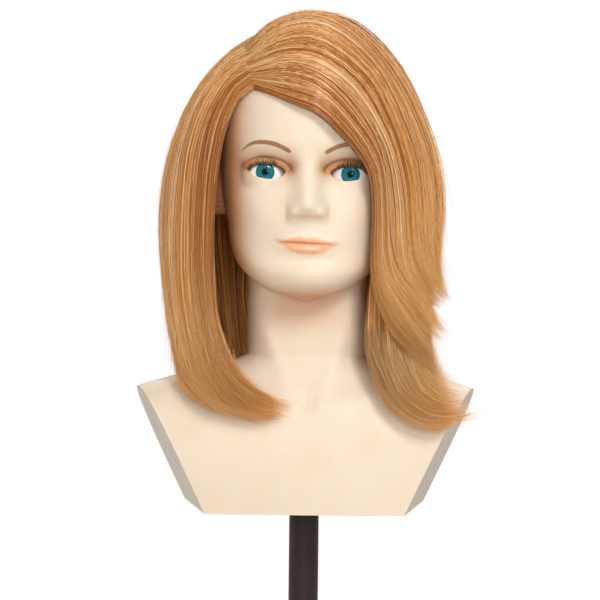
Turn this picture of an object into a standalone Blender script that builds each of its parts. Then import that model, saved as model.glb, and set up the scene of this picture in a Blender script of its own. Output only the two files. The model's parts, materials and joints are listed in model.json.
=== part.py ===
"""Mannequin training head with a bust, on the pole of its table clamp.

World frame, in metres: +Z up, the face looks along -Y, and the origin is on the clamp's seat
pad, where it rests on the table top. The pole, the clamping screw and the head share the Z axis.
The head itself is described in millimetres above the flat bottom of the bust (the head frame).
"""

import math

import bmesh
import bpy
import numpy as np
from mathutils import Matrix, Vector

MM = 0.001

# ---- Driving dimensions, in millimetres --------------------------------------------------------

BUST_BOTTOM = 185.0  # height of the flat bottom of the bust above the table
BUST_SIDE_TOP = 139.0  # half-width between the flat sides at SIDE_TOP_HEIGHT
SIDE_TOP_HEIGHT = 98.0
BUST_SIDE_BOTTOM = 93.0  # half-width between the flat sides at the bottom
SIDE_TURN = math.radians(10.0)  # the flat sides are turned a little to the front
SKIN_WALL = 4.5
HAIR_CLEAR = 7.0  # least height of the hair's outer layer over the skin
FIT = 0.4  # gap between pieces that touch

EYE_X = 33.5
EYE_Y = -48.5
EYE_Z = 268.5
EYE_RADIUS = 17.4
EYE_OPEN_HALF = 16.5  # half-width of the opening between the lids
EYE_OPEN_RISE = 6.9
LID = 1.5

POLE_RADIUS = 12.0
POLE_BORE = 10.0
POLE_BOTTOM = 82.0
POLE_TOP = BUST_BOTTOM + 97.0
RUNNING_FIT = 0.3
BUSH_RADIUS = 15.0
BUSH_TOP = BUST_BOTTOM + 100.5
SOCKET_RADIUS = 18.0
SOCKET_TOP = BUST_BOTTOM + 104.5
SOCKET_FLANGE = 26.0
BOARD_THICK = 6.0
BOARD_SCREW_X = 58.0
BOARD_SCREW_Y = 36.0

PIVOT = 56.0  # height of the tilt joint
CHEEK_RADIUS = 17.0
CHEEK_IN = 9.0
CHEEK_THICK = 6.0
TONGUE_HALF = 6.6
WASHER_THICK = 1.8
PIN_RADIUS = 4.0
KNUCKLE_TOP = 100.0
KNUCKLE_RADIUS = 16.5

FRAME_HALF = 18.0  # half-width of the clamp frame
SEAT_THICK = 2.5
ARM_TOP = 17.0
SPINE_OUT = -50.0
SPINE_IN = -35.0
LOWER_ARM_TOP = -86.0
LOWER_ARM_BOTTOM = -101.0
SCREW_RADIUS = 7.0
PAD_RADIUS = 17.0
PAD_FACE = -30.0  # top of the pressure pad's facing at rest
TOMMY_Z = -160.0
TOMMY_HALF = 55.0

# ---- Smooth curves of one variable -------------------------------------------------------------


def smooth_curve(*keys):
    """A smooth function through (place, value) keys, constant past its ends."""
    places = np.array([key[0] for key in keys], float)
    values = np.array([key[1] for key in keys], float)
    slopes = np.gradient(values, places)
    fine = np.linspace(places[0], places[-1], 600)
    left = np.clip(np.searchsorted(places, fine, side="right") - 1, 0, len(places) - 2)
    span = places[left + 1] - places[left]
    t = (fine - places[left]) / span
    rise = (2 * t**3 - 3 * t**2 + 1) * values[left] + (3 * t**2 - 2 * t**3) * values[left + 1]
    bend = (t**3 - 2 * t**2 + t) * slopes[left] + (t**3 - t**2) * slopes[left + 1]
    table = rise + bend * span
    return lambda at: np.interp(at, fine, table)


def smooth_min(a, b, radius):
    """The smaller of two distances, with their meeting rounded."""
    h = np.clip(0.5 + 0.5 * (b - a) / radius, 0.0, 1.0)
    return b + (a - b) * h - radius * h * (1.0 - h)


def bump(along, across, centre, spread):
    """A rounded bump of height 1 over two variables."""
    first = (along - centre[0]) / spread[0]
    second = (across - centre[1]) / spread[1]
    return np.exp(-(first**2) - second**2)


# ---- The shape of the head, as a field that is negative inside (head frame, mm) ----------------

# Half-width, front, back and the widest place of the head at each height
HEAD_WIDTH = smooth_curve(
    (171, 1), (173, 9), (176, 22), (180, 32), (185, 41.5), (190, 48.5), (196, 54), (203, 58),
    (212, 61), (232, 64.5), (250, 68), (268, 70.5), (290, 72.5), (315, 74), (340, 72), (360, 64),
    (378, 49), (388, 33), (393, 15), (394, 1),
)
HEAD_FRONT = smooth_curve(
    (171, -52), (173, -60), (178, -69), (186, -76), (194, -77.5), (200, -75.5), (206, -74),
    (222, -75.5), (231, -77), (250, -76), (268, -74), (282, -76.5), (292, -80), (310, -82.5),
    (325, -80.5), (345, -72), (365, -56), (380, -36), (390, -14), (394, 5),
)
HEAD_BACK = smooth_curve(
    (171, -46), (180, -20), (190, 0), (203, 22), (220, 48), (235, 62), (255, 77), (280, 89),
    (305, 94), (330, 92), (350, 83), (368, 66), (382, 44), (391, 22), (394, 9),
)
HEAD_MIDDLE = smooth_curve(
    (171, -49), (180, -40), (190, -30), (203, -20), (220, -12), (250, -2), (290, 7), (394, 7)
)
HEAD_BOTTOM = 171.0
HEAD_TOP = 394.0

BUST_WIDTH = smooth_curve(
    (-10, 205), (40, 196), (65, 184), (80, 170), (90, 155), (97, 140), (105, 114), (113, 84),
    (120, 56), (125, 30), (128, 4),
)
BUST_FRONT = smooth_curve(
    (-10, -64), (0, -65), (30, -68), (60, -66.5), (80, -61), (95, -52), (107, -42), (118, -30), (128, -6),
)
BUST_BACK = smooth_curve((-10, 68), (30, 74), (60, 75), (85, 69), (103, 58), (117, 40), (128, 12))
BUST_MIDDLE = 4.0
BUST_POWER = 2.5
BUST_TOP = 128.0

NOSE_HEIGHT = smooth_curve(
    (225, 0), (229, 0.4), (232, 4), (235, 11.5), (238, 17.5), (241, 20), (245, 19.5), (250, 17),
    (258, 12.5), (266, 9), (273, 6), (280, 3.4), (288, 1.2), (297, 0),
)
NOSE_SPREAD = smooth_curve((225, 12), (238, 10.5), (243, 10), (252, 8), (262, 7.2), (275, 8), (290, 11))


def section_distance(x, y, half, front, back, middle, power):
    """Distance in the horizontal plane to an egg-shaped section."""
    from_middle = y - middle
    depth = np.where(from_middle < 0, middle - front, back - middle)
    half = np.maximum(half, 0.5)
    depth = np.maximum(depth, 0.5)
    reach = np.hypot(x, from_middle) + 1e-6
    grow = ((np.abs(x) + 1e-6) / half) ** power + (np.abs(from_middle) / depth) ** power
    return reach * (1.0 - grow ** (-1.0 / power))


def face_relief(x, z):
    """How far the features stand forward of the plain front of the head."""
    side = np.abs(x)
    nose = NOSE_HEIGHT(z) * np.exp(-((side / NOSE_SPREAD(z)) ** 2.3))
    nose = nose + 7.5 * bump(side, z, (12.0, 237.5), (4.8, 6.0))
    sockets = -6.5 * bump(side, z, (31, 271), (17, 10)) - 4.5 * bump(side, z, (15, 272), (6, 9))
    brow = 2.4 * bump(side, z, (29, 291), (24, 8))
    cheeks = 3.0 * bump(side, z, (45, 242), (18, 18)) - 1.0 * bump(side, z, (42, 211), (14, 14))
    mouth = 4.0 * bump(side, z, (0, 211), (24, 15))
    lip_span = np.exp(-((side / 19.5) ** 4))
    upper_lip = 2.8 * np.exp(-(((z - 215.6) / 2.8) ** 2))
    lower_lip = 3.4 * np.exp(-(((z - 208.2) / 3.3) ** 2))
    seam = -2.2 * np.exp(-(((z - 212.4) / 1.2) ** 2))
    lips = lip_span * (upper_lip + lower_lip + seam)
    chin = 3.0 * bump(side, z, (0, 186), (17, 10)) - 2.6 * bump(side, z, (0, 199), (16, 4.5))
    return nose + sockets + brow + cheeks + mouth + lips + chin


def head_field(x, y, z, relief):
    """The head alone, with its front moved forward by relief."""
    middle = HEAD_MIDDLE(z)
    facing = np.clip((middle - y) / 30.0, 0.0, 1.0)
    moved = y + facing * relief
    flat = section_distance(x, moved, HEAD_WIDTH(z), HEAD_FRONT(z), HEAD_BACK(z), middle, 2.05)
    flat = flat + np.maximum(z - HEAD_TOP, 0) + np.maximum(HEAD_BOTTOM - z, 0)
    crown = np.sqrt((x / 72.0) ** 2 + ((y - 7.0) / 87.0) ** 2 + ((z - 312.0) / 82.0) ** 2)
    return np.minimum(flat, 76.0 * (crown - 1.0))


def neck_field(x, y, z):
    middle = 9.0 - 0.06 * (z - 110.0)
    flat = section_distance(x, y, 48.0 + 0 * z, middle - 45.0, middle + 47.0, middle, 2.1)
    return flat + np.maximum(z - 330.0, 0)


def bust_field(x, y, z):
    flat = section_distance(x, y, BUST_WIDTH(z), BUST_FRONT(z), BUST_BACK(z), BUST_MIDDLE, BUST_POWER)
    return flat + np.maximum(z - BUST_TOP, 0)


def ear_field(x, y, z):
    """Both ears, as one tilted, flattened egg each."""
    lean = y - 8.0 + 0.18 * (z - 258.0)
    out = (np.abs(x) - 72.5) / 7.0
    return 7.0 * (np.sqrt(out**2 + (lean / 15.0) ** 2 + ((z - 258.0) / 28.0) ** 2) - 1.0)


def eye_distance(x, y, z):
    return np.sqrt((np.abs(x) - EYE_X) ** 2 + (y - EYE_Y) ** 2 + (z - EYE_Z) ** 2)


def skin_field(x, y, z):
    """The outer skin."""
    body = smooth_min(head_field(x, y, z, face_relief(x, z)), neck_field(x, y, z), 11.0)
    body = smooth_min(body, bust_field(x, y, z), 24.0)
    body = smooth_min(body, ear_field(x, y, z), 5.0)
    return smooth_min(body, eye_distance(x, y, z) - EYE_RADIUS - LID, 3.0)


def core_field(x, y, z):
    """The skin without its ears, lids and nose, for the inner wall."""
    head = head_field(x, y, z, np.minimum(face_relief(x, z), 0.0) - 1.5)
    body = smooth_min(head, neck_field(x, y, z), 11.0)
    return smooth_min(body, bust_field(x, y, z), 24.0)


# Rays that meet the surface: their start on the middle plane and their slope, from the bottom up
RAY_HEIGHT = smooth_curve(
    (0, -8), (0.1, 30), (0.17, 52), (0.24, 62), (0.30, 66), (0.34, 76), (0.38, 98), (0.42, 120),
    (0.46, 142), (0.50, 160), (0.54, 182), (0.58, 205), (0.62, 226), (0.66, 238), (0.72, 246),
    (0.78, 250), (0.84, 253), (0.90, 257), (0.94, 262), (0.97, 268), (1, 272),
)
RAY_SLOPE = smooth_curve(
    (0, 0), (0.10, 0), (0.17, 4), (0.24, 20), (0.30, 36), (0.34, 44), (0.38, 34), (0.42, 17),
    (0.46, 0), (0.50, -8), (0.54, -20), (0.58, -34), (0.62, -40), (0.66, -34), (0.72, -20),
    (0.78, -6), (0.84, 12), (0.90, 30), (0.94, 48), (0.97, 68), (1, 90),
)
RAY_MIDDLE = smooth_curve((0, 4), (0.3, 5), (0.42, 8), (0.5, 6), (0.58, 0), (0.86, 0), (0.94, 5), (1, 8))


def surface_grid(field, inset, rows, columns, lowest=0.0):
    """Points where the rays meet the field, as rows x columns x 3. The last row is the crown."""
    v = np.linspace(lowest, 1.0, rows)[:, None]
    turn = np.linspace(0.0, 2 * math.pi, columns, endpoint=False)[None, :]
    turn = turn - 0.62 * np.sin(turn)
    slope = np.radians(RAY_SLOPE(v))
    way = np.stack(
        [
            np.sin(turn) * np.cos(slope),
            -np.cos(turn) * np.cos(slope),
            np.sin(slope) + 0 * turn,
        ],
        axis=-1,
    )
    start = np.zeros_like(way)
    start[..., 1] = RAY_MIDDLE(v)
    start[..., 2] = RAY_HEIGHT(v)
    near = np.full(way.shape[:2], 3.0)
    far = np.full(way.shape[:2], 260.0)
    for _ in range(30):
        middle = 0.5 * (near + far)
        at = start + way * middle[..., None]
        inside = field(at[..., 0], at[..., 1], at[..., 2]) + inset < 0
        near = np.where(inside, middle, near)
        far = np.where(inside, far, middle)
    return start + way * near[..., None]


# ---- Building helpers --------------------------------------------------------------------------


def clear_scene():
    for obj in list(bpy.data.objects):
        bpy.data.objects.remove(obj, do_unlink=True)


def material(name, colour, roughness, metallic=0.0):
    made = bpy.data.materials.new(name)
    made.use_nodes = True
    shader = made.node_tree.nodes["Principled BSDF"]
    shader.inputs["Base Color"].default_value = (*colour, 1.0)
    shader.inputs["Roughness"].default_value = roughness
    shader.inputs["Metallic"].default_value = metallic
    made.diffuse_color = (*colour, 1.0)
    return made


def add_object(name, bm, made_of, parent=None, smooth=True, at=(0, 0, 0)):
    """An object from a bmesh given in world millimetres, with its origin at a point in mm."""
    bmesh.ops.recalc_face_normals(bm, faces=bm.faces)
    bm.transform(Matrix.Scale(MM, 4) @ Matrix.Translation(-Vector(at)))
    mesh = bpy.data.meshes.new(name)
    bm.to_mesh(mesh)
    bm.free()
    for face in mesh.polygons:
        face.use_smooth = smooth
    obj = bpy.data.objects.new(name, mesh)
    bpy.context.scene.collection.objects.link(obj)
    obj.location = Vector(at) * MM
    if made_of:
        mesh.materials.append(made_of)
    if parent:
        obj.parent = parent
        obj.matrix_parent_inverse = Matrix.Translation(-parent.location)
    return obj


def joint_empty(name, at):
    empty = bpy.data.objects.new(name, None)
    empty.location = Vector(at) * MM
    bpy.context.scene.collection.objects.link(empty)
    return empty


def cut(obj, cutter):
    """Cuts a helper solid out of obj."""
    cutter.hide_render = True
    cutter.display_type = "WIRE"
    modifier = obj.modifiers.new("cut_" + cutter.name, "BOOLEAN")
    modifier.operation = "DIFFERENCE"
    modifier.solver = "EXACT"
    modifier.object = cutter


def round_edges(obj, width, segments=2):
    modifier = obj.modifiers.new("round_edges", "BEVEL")
    modifier.width = width * MM
    modifier.segments = segments
    modifier.limit_method = "ANGLE"
    modifier.angle_limit = math.radians(40)


def turned_bmesh(profile, axis="Z", centre=(0, 0, 0), sides=24):
    """A solid of revolution about an axis. The profile is a closed loop of (radius, along)."""
    bm = bmesh.new()
    verts = [bm.verts.new((radius, 0, along)) for radius, along in profile]
    edges = [bm.edges.new((a, b)) for a, b in zip(verts, verts[1:] + verts[:1])]
    bmesh.ops.spin(
        bm,
        geom=verts + edges,
        cent=(0, 0, 0),
        axis=(0, 0, 1),
        angle=2 * math.pi,
        steps=sides,
        use_merge=True,
    )
    bmesh.ops.remove_doubles(bm, verts=bm.verts, dist=1e-4)
    loose = [edge for edge in bm.edges if not edge.link_faces]
    bmesh.ops.delete(bm, geom=loose, context="EDGES")
    turn = {
        "Z": Matrix(),
        "X": Matrix.Rotation(math.pi / 2, 4, "Y"),
        "Y": Matrix.Rotation(-math.pi / 2, 4, "X"),
    }
    bm.transform(Matrix.Translation(centre) @ turn[axis])
    return bm


def rod_bmesh(radius, start, end, axis="Z", centre=(0, 0, 0), sides=24, chamfer=0.0):
    profile = [(0, start), (radius - chamfer, start), (radius, start + chamfer)]
    profile += [(radius, end - chamfer), (radius - chamfer, end), (0, end)]
    if not chamfer:
        profile = [(0, start), (radius, start), (radius, end), (0, end)]
    return turned_bmesh(profile, axis, centre, sides)


def prism_bmesh(outline, across, low, high):
    """A closed outline pushed from low to high along the axis named by across."""
    place = {
        "X": lambda a, b, c: (c, a, b),
        "Y": lambda a, b, c: (a, c, b),
        "Z": lambda a, b, c: (a, b, c),
    }[across]
    bm = bmesh.new()
    base = bm.faces.new([bm.verts.new(place(a, b, low)) for a, b in outline])
    pushed = bmesh.ops.extrude_face_region(bm, geom=[base])
    moved = [part for part in pushed["geom"] if isinstance(part, bmesh.types.BMVert)]
    bmesh.ops.translate(bm, verts=moved, vec=place(0, 0, high - low))
    return bm


def skin_bmesh(points, lowest=None, side_inset=0.0):
    """A closed body from a surface grid, cut flat at the bust's sides and bottom."""
    rows, columns = points.shape[:2]
    bm = bmesh.new()
    rings = [[bm.verts.new(point) for point in ring] for ring in points[:-1]]
    crown = bm.verts.new(points[-1].mean(axis=0))
    for low, high in zip(rings, rings[1:]):
        for i in range(columns):
            j = (i + 1) % columns
            bm.faces.new((low[i], low[j], high[j]))
            bm.faces.new((low[i], high[j], high[i]))
    for i in range(columns):
        bm.faces.new((rings[-1][i], rings[-1][(i + 1) % columns], crown))
    bm.faces.new(list(reversed(rings[0])))
    for side in (-1, 1):
        centre, normal = side_plane(side, side_inset)
        slice_flat(bm, centre, normal)
    if lowest is not None:
        slice_flat(bm, Vector((0, 0, lowest)), Vector((0, 0, -1)))
    bm.transform(Matrix.Translation((0, 0, BUST_BOTTOM)))
    return bm


def side_plane(side, inset):
    """A point and the outward normal of one of the bust's flat sides."""
    slant = math.atan2(BUST_SIDE_TOP - BUST_SIDE_BOTTOM, SIDE_TOP_HEIGHT)
    normal = Vector(
        (
            side * math.cos(slant) * math.cos(SIDE_TURN),
            -math.sin(SIDE_TURN) * math.cos(slant),
            -math.sin(slant),
        )
    )
    centre = Vector((side * BUST_SIDE_BOTTOM, 20.0, 0.0)) - normal * inset
    return centre, normal


def slice_flat(bm, centre, normal):
    """Cuts off what is beyond a plane and closes the cut."""
    geometry = bm.verts[:] + bm.edges[:] + bm.faces[:]
    done = bmesh.ops.bisect_plane(
        bm,
        geom=geometry,
        dist=1e-4,
        plane_co=centre,
        plane_no=normal,
        clear_outer=True,
    )
    rim = [part for part in done["geom_cut"] if isinstance(part, bmesh.types.BMEdge)]
    bmesh.ops.holes_fill(bm, edges=rim, sides=0)


# ---- Hair: the outer layer of strands, as guides from root to tip (head frame, mm) ------------

# From the front edge of the sweep, over the top, to the middle of the back
RIGHT_GUIDES = (
    ((-41, -66, 336), (-14, -85, 324), (8, -90, 315), (31, -85, 293), (49, -70, 268),
     (52, -61, 235), (51, -57, 200), (48, -54, 165), (49, -60, 124), (66, -74, 87),
     (99, -74, 69), (143, -58, 77)),
    ((-44, -56, 352), (-14, -68, 364), (14, -74, 355), (42, -70, 328), (64, -60, 290),
     (75, -54, 248), (78, -52, 210), (78, -52, 172), (80, -56, 135), (90, -62, 105),
     (110, -60, 90), (140, -46, 92)),
    ((-46, -20, 377), (-16, -24, 399), (14, -20, 404), (46, -14, 391), (76, -8, 358),
     (97, -4, 317), (106, 0, 279), (107, 2, 238), (104, 0, 205), (107, -4, 175),
     (114, -16, 142), (130, -28, 112)),
    ((-40, 25, 386), (-8, 34, 399), (24, 42, 393), (52, 50, 372), (74, 58, 340),
     (88, 63, 298), (92, 66, 255), (90, 66, 215), (88, 64, 178), (88, 64, 150),
     (92, 66, 128), (96, 62, 108)),
    ((-24, 62, 379), (-16, 79, 371), (-7, 93, 352), (-1, 103, 327), (2, 108, 297),
     (2, 109, 265), (2, 106, 232), (2, 102, 198), (2, 99, 168), (2, 98, 142),
     (2, 98, 118), (2, 97, 98)),
)
# From the front edge of the left side to the middle of the back
LEFT_GUIDES = (
    ((-43, -66, 337), (-56, -58, 327), (-65, -50, 306), (-70, -46, 280), (-75, -44, 252),
     (-78, -44, 222), (-80, -45, 192), (-77, -49, 160), (-68, -57, 130), (-50, -68, 106),
     (-26, -76, 93), (-5, -76, 89)),
    ((-46, -46, 360), (-66, -42, 350), (-84, -36, 324), (-95, -32, 290), (-99, -31, 255),
     (-100, -32, 220), (-99, -35, 188), (-96, -40, 156), (-91, -48, 126), (-80, -60, 98),
     (-62, -70, 80), (-36, -76, 72)),
    ((-48, -6, 382), (-66, -3, 370), (-86, 0, 347), (-104, 2, 312), (-115, 5, 276),
     (-119, 6, 240), (-119, 6, 206), (-118, 3, 174), (-115, -6, 146), (-110, -24, 122),
     (-102, -48, 100), (-88, -64, 82)),
    ((-42, 32, 384), (-62, 42, 368), (-80, 52, 338), (-90, 60, 304), (-94, 65, 270),
     (-95, 67, 238), (-94, 67, 206), (-92, 66, 176), (-90, 65, 150), (-88, 64, 128),
     (-85, 62, 112), (-80, 62, 98)),
    ((-27, 63, 378), (-20, 80, 369), (-10, 94, 350), (-4, 103, 325), (-1, 108, 296),
     (-1, 109, 264), (-1, 106, 231), (-1, 102, 198), (-1, 99, 168), (-1, 98, 142),
     (-1, 98, 118), (-1, 97, 98)),
)


def spline(points, at):
    """Catmull-Rom through evenly numbered points. at runs from 0 to 1."""
    points = np.asarray(points, float)
    place = np.clip(np.asarray(at, float), 0, 1) * (len(points) - 1)
    left = np.clip(np.floor(place).astype(int), 0, len(points) - 2)
    t = (place - left).reshape((-1,) + (1,) * (points.ndim - 1))
    ends = np.concatenate([[2 * points[0] - points[1]], points, [2 * points[-1] - points[-2]]])
    a, b, c, d = (ends[left + i] for i in range(4))
    return 0.5 * (2 * b + (c - a) * t + (2 * a - 5 * b + 4 * c - d) * t**2 + (3 * b - a - 3 * c + d) * t**3)


def hair_sheet(guides, start, end, across, along):
    """The outer layer between two places across the guides, as across x along x 3."""
    outer = spline(guides, np.linspace(start, end, across))
    return np.swapaxes(spline(np.swapaxes(outer, 0, 1), np.linspace(0, 1, along)), 0, 1)


def lift_off(points, clear):
    """Moves points straight out of the skin until they are at least this far off it."""
    for _ in range(8):
        value = skin_field(*np.moveaxis(points, -1, 0))
        slope = np.stack(
            [skin_field(*np.moveaxis(points + step, -1, 0)) - value for step in 0.5 * np.eye(3)],
            axis=-1,
        )
        slope /= np.linalg.norm(slope, axis=-1, keepdims=True) + 1e-9
        points = points + slope * np.maximum(clear - value, 0.0)[..., None]
    return points


def hair_bmesh(guides, start, end, across, along, thickest):
    """A closed lock of hair: the outer layer, and an inner one that keeps off the head."""
    outer = lift_off(hair_sheet(guides, start, end, across, along), HAIR_CLEAR)
    t = np.linspace(0, 1, along)[None, :]
    axis = np.zeros_like(outer)
    axis[..., 1] = 8.0
    axis[..., 2] = np.clip(outer[..., 2] - 12.0, 0.0, 270.0)
    inward = axis - outer
    inward /= np.linalg.norm(inward, axis=-1, keepdims=True)
    wanted = thickest * (0.28 + 0.72 * np.sin(math.pi * np.clip(t * 0.9 + 0.06, 0, 1)) ** 0.7)
    depth = np.zeros(outer.shape[:2])
    clear = np.ones(outer.shape[:2], bool)
    for step in np.arange(0.5, thickest, 0.5):
        at = outer + inward * (step + 1.0)
        clear &= skin_field(at[..., 0], at[..., 1], at[..., 2]) > 3.0
        depth = np.where(clear & (step <= wanted), step, depth)
    depth = np.maximum(depth, 1.5)
    inner = outer + inward * depth[..., None]
    bm = bmesh.new()
    layers = [[[bm.verts.new(p) for p in line] for line in layer] for layer in (outer, inner)]
    for layer, flip in zip(layers, (False, True)):
        for low, high in zip(layer, layer[1:]):
            for i in range(along - 1):
                corners = [low[i], low[i + 1], high[i + 1], high[i]]
                bm.faces.new(corners[::-1] if flip else corners)
    rims = []
    for layer in layers:
        rim = layer[0] + [line[-1] for line in layer[1:-1]] + layer[-1][::-1]
        rims.append(rim + [line[0] for line in layer[-2:0:-1]])
    for i in range(len(rims[0])):
        j = (i + 1) % len(rims[0])
        bm.faces.new((rims[0][i], rims[0][j], rims[1][j], rims[1][i]))
    bm.transform(Matrix.Translation((0, 0, BUST_BOTTOM)))
    return bm


# ---- The head's own pieces ---------------------------------------------------------------------


def almond_outline(side, grow, points=16):
    """The opening between the lids, seen from the front."""
    outline = []
    for i in range(points):
        turn = 2 * math.pi * i / points
        across = (EYE_OPEN_HALF + grow) * math.cos(turn)
        up = (EYE_OPEN_RISE + grow) * math.copysign(abs(math.sin(turn)) ** 1.15, math.sin(turn))
        outline.append((side * EYE_X + across, up + EYE_Z + BUST_BOTTOM))
    return outline


def make_head(head):
    vinyl = material("ivory_vinyl", (0.86, 0.72, 0.55), 0.45)
    foam = material("filling_foam", (0.80, 0.74, 0.52), 0.9)
    board = material("base_board_plastic", (0.55, 0.50, 0.44), 0.5)
    white = material("acrylic_eye", (0.85, 0.85, 0.83), 0.08)
    lash = material("lash_fibre", (0.16, 0.07, 0.03), 0.5)
    steel = material("zinc_steel", (0.62, 0.60, 0.56), 0.35, 1.0)

    outer = surface_grid(skin_field, 0.0, 46, 46)
    shell = add_object("head_shell", skin_bmesh(outer, lowest=0.0), vinyl, head)
    inner = surface_grid(core_field, SKIN_WALL, 22, 22)
    cavity = add_object("cavity_cutter", skin_bmesh(inner, side_inset=SKIN_WALL), None)
    cut(shell, cavity)

    filling = surface_grid(core_field, SKIN_WALL + FIT, 22, 22)
    filling_mesh = skin_bmesh(filling, BOARD_THICK + FIT, SKIN_WALL + FIT)
    core = add_object("foam_core", filling_mesh, foam, head)

    bore = SOCKET_RADIUS + FIT
    flange = SOCKET_FLANGE + FIT
    floor = BUST_BOTTOM + BOARD_THICK
    profile = [(0, floor - 5), (flange, floor - 5), (flange, floor + 3 + 2 * FIT)]
    profile += [(bore, floor + 3 + 2 * FIT), (bore, SOCKET_TOP + 3 + FIT), (0, SOCKET_TOP + 3 + FIT)]
    cut(core, add_object("socket_cutter", turned_bmesh(profile, sides=32), None))

    base = skin_bmesh(surface_grid(core_field, SKIN_WALL + FIT, 22, 22), 0.0, SKIN_WALL + FIT)
    slice_flat(base, Vector((0, 0, BUST_BOTTOM + BOARD_THICK)), Vector((0, 0, 1)))
    base_board = add_object("base_board", base, board, head, smooth=False)
    hole = rod_bmesh(BUSH_RADIUS + RUNNING_FIT, BUST_BOTTOM - 3, BUST_BOTTOM + BOARD_THICK + 3, sides=32)
    cut(base_board, add_object("board_hole_cutter", hole, None))

    r_in = BUSH_RADIUS + RUNNING_FIT
    profile = [(r_in, floor + FIT), (SOCKET_FLANGE, floor + FIT), (SOCKET_FLANGE, floor + 3 + FIT)]
    profile += [(SOCKET_RADIUS, floor + 3 + FIT), (SOCKET_RADIUS, SOCKET_TOP + 3), (0, SOCKET_TOP + 3)]
    profile += [(0, SOCKET_TOP - 3.5), (r_in, SOCKET_TOP - 3.5)]
    add_object("pole_socket", turned_bmesh(profile, sides=32), board, head)

    for name, x, y in (
        ("front_left", -BOARD_SCREW_X, -BOARD_SCREW_Y),
        ("front_right", BOARD_SCREW_X, -BOARD_SCREW_Y),
        ("rear_left", -BOARD_SCREW_X, BOARD_SCREW_Y),
        ("rear_right", BOARD_SCREW_X, BOARD_SCREW_Y),
    ):
        make_board_screw(name, x, y, steel, head, base_board, core)

    for name, side in (("left", -1), ("right", 1)):
        make_eye(name, side, white, lash, head, shell, core)


def make_board_screw(name, x, y, steel, head, base_board, core):
    """A countersunk wood screw up through the board into the filling, and its hole."""
    for grow, made_of in ((0.0, steel), (FIT, None)):
        low = BUST_BOTTOM + (FIT if made_of else -1.0)
        profile = [(0, low), (4.2 + grow, low), (4.2 + grow, BUST_BOTTOM + 1.0 + grow)]
        profile += [(2.0 + grow, BUST_BOTTOM + 3.4 + grow), (2.0 + grow, BUST_BOTTOM + 20)]
        profile += [(0, BUST_BOTTOM + 24 + 2 * grow)]
        bm = turned_bmesh(profile, centre=(x, y, 0), sides=14)
        if made_of:
            add_object("base_screw_" + name, bm, made_of, head)
        else:
            cutter = add_object("screw_cutter_" + name, bm, None)
            cut(base_board, cutter)
            cut(core, cutter)


def make_eye(name, side, white, lash, head, shell, core):
    """One eye, the opening for it in the skin, its pocket in the filling, and its lashes."""
    centre = Vector((side * EYE_X, EYE_Y, EYE_Z + BUST_BOTTOM))
    for grow, made_of in ((0.0, white), (FIT, None)):
        radius = EYE_RADIUS + grow
        bm = bmesh.new()
        bmesh.ops.create_uvsphere(bm, u_segments=18, v_segments=10, radius=radius)
        bm.transform(Matrix.Translation(centre) @ Matrix.Rotation(math.pi / 2, 4, "X"))
        slice_flat(bm, centre + Vector((0, 2.0 + grow, 0)), Vector((0, 1, 0)))
        if made_of:
            add_object("eye_" + name, bm, made_of, head)
        else:
            cutter = add_object("eye_cutter_" + name, bm, None)
            cut(shell, cutter)
            cut(core, cutter)
    opening = prism_bmesh(almond_outline(side, 0.0), "Y", EYE_Y - 40, EYE_Y - 4)
    opening = add_object("lid_cutter_" + name, opening, None)
    cut(shell, opening)
    cut(core, opening)
    make_lashes(name, side, lash, head)


def make_lashes(name, side, lash, head):
    """The strip of upper lashes, standing out of the lid's edge."""
    bm = bmesh.new()
    sections = []
    for i in range(9):
        turn = math.radians(44 + 92 * i / 8)
        x = side * EYE_X + (EYE_OPEN_HALF - 2.5) * math.cos(turn)
        z = EYE_Z + BUST_BOTTOM + (EYE_OPEN_RISE - 1.0) * math.sin(turn) ** 1.15 - 1.0
        reach = math.hypot(x - side * EYE_X, z - EYE_Z - BUST_BOTTOM)
        y = EYE_Y - math.sqrt((EYE_RADIUS + 0.5) ** 2 - reach**2)
        corners = [(x, y, z), (x, y, z + 0.5), (x, y - 4.5, z + 0.5), (x, y - 6.5, z + 2.5)]
        corners += [(x, y - 6.5, z + 2.0), (x, y - 4.5, z)]
        sections.append([bm.verts.new(corner) for corner in corners])
    for low, high in zip(sections, sections[1:]):
        for i in range(6):
            bm.faces.new((low[i], low[(i + 1) % 6], high[(i + 1) % 6], high[i]))
    bm.faces.new(sections[0][::-1])
    bm.faces.new(sections[-1])
    add_object("lashes_" + name, bm, lash, head)


def make_hair(head):
    hair = material("golden_hair", (0.62, 0.36, 0.16), 0.45)
    gap = 0.012
    for name, guides, start, end, across, thickest in (
        ("hair_fringe", RIGHT_GUIDES, 0.0, 0.30, 5, 7.0),
        ("hair_right_side", RIGHT_GUIDES, 0.30 + gap, 0.68, 8, 22.0),
        ("hair_right_back", RIGHT_GUIDES, 0.68 + gap, 1.0, 6, 18.0),
        ("hair_left_side", LEFT_GUIDES, 0.0, 0.60, 8, 20.0),
        ("hair_left_back", LEFT_GUIDES, 0.60 + gap, 0.985, 6, 18.0),
    ):
        bm = hair_bmesh(guides, start, end, across, 15, thickest)
        add_object(name, bm, hair, head)


# ---- Pole, tilt joint and clamp ----------------------------------------------------------------


def make_bush(turner):
    nylon = material("bush_nylon", (0.05, 0.045, 0.04), 0.45)
    r_in = POLE_RADIUS + RUNNING_FIT
    low = BUST_BOTTOM + 0.5
    profile = [(r_in, low), (BUSH_RADIUS - 0.8, low), (BUSH_RADIUS, low + 0.8)]
    profile += [(BUSH_RADIUS, BUSH_TOP - 2), (BUSH_RADIUS - 2, BUSH_TOP), (0, BUSH_TOP)]
    profile += [(0, POLE_TOP + RUNNING_FIT), (r_in, POLE_TOP + RUNNING_FIT)]
    add_object("swivel_bush", turned_bmesh(profile, sides=32), nylon, turner)


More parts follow.
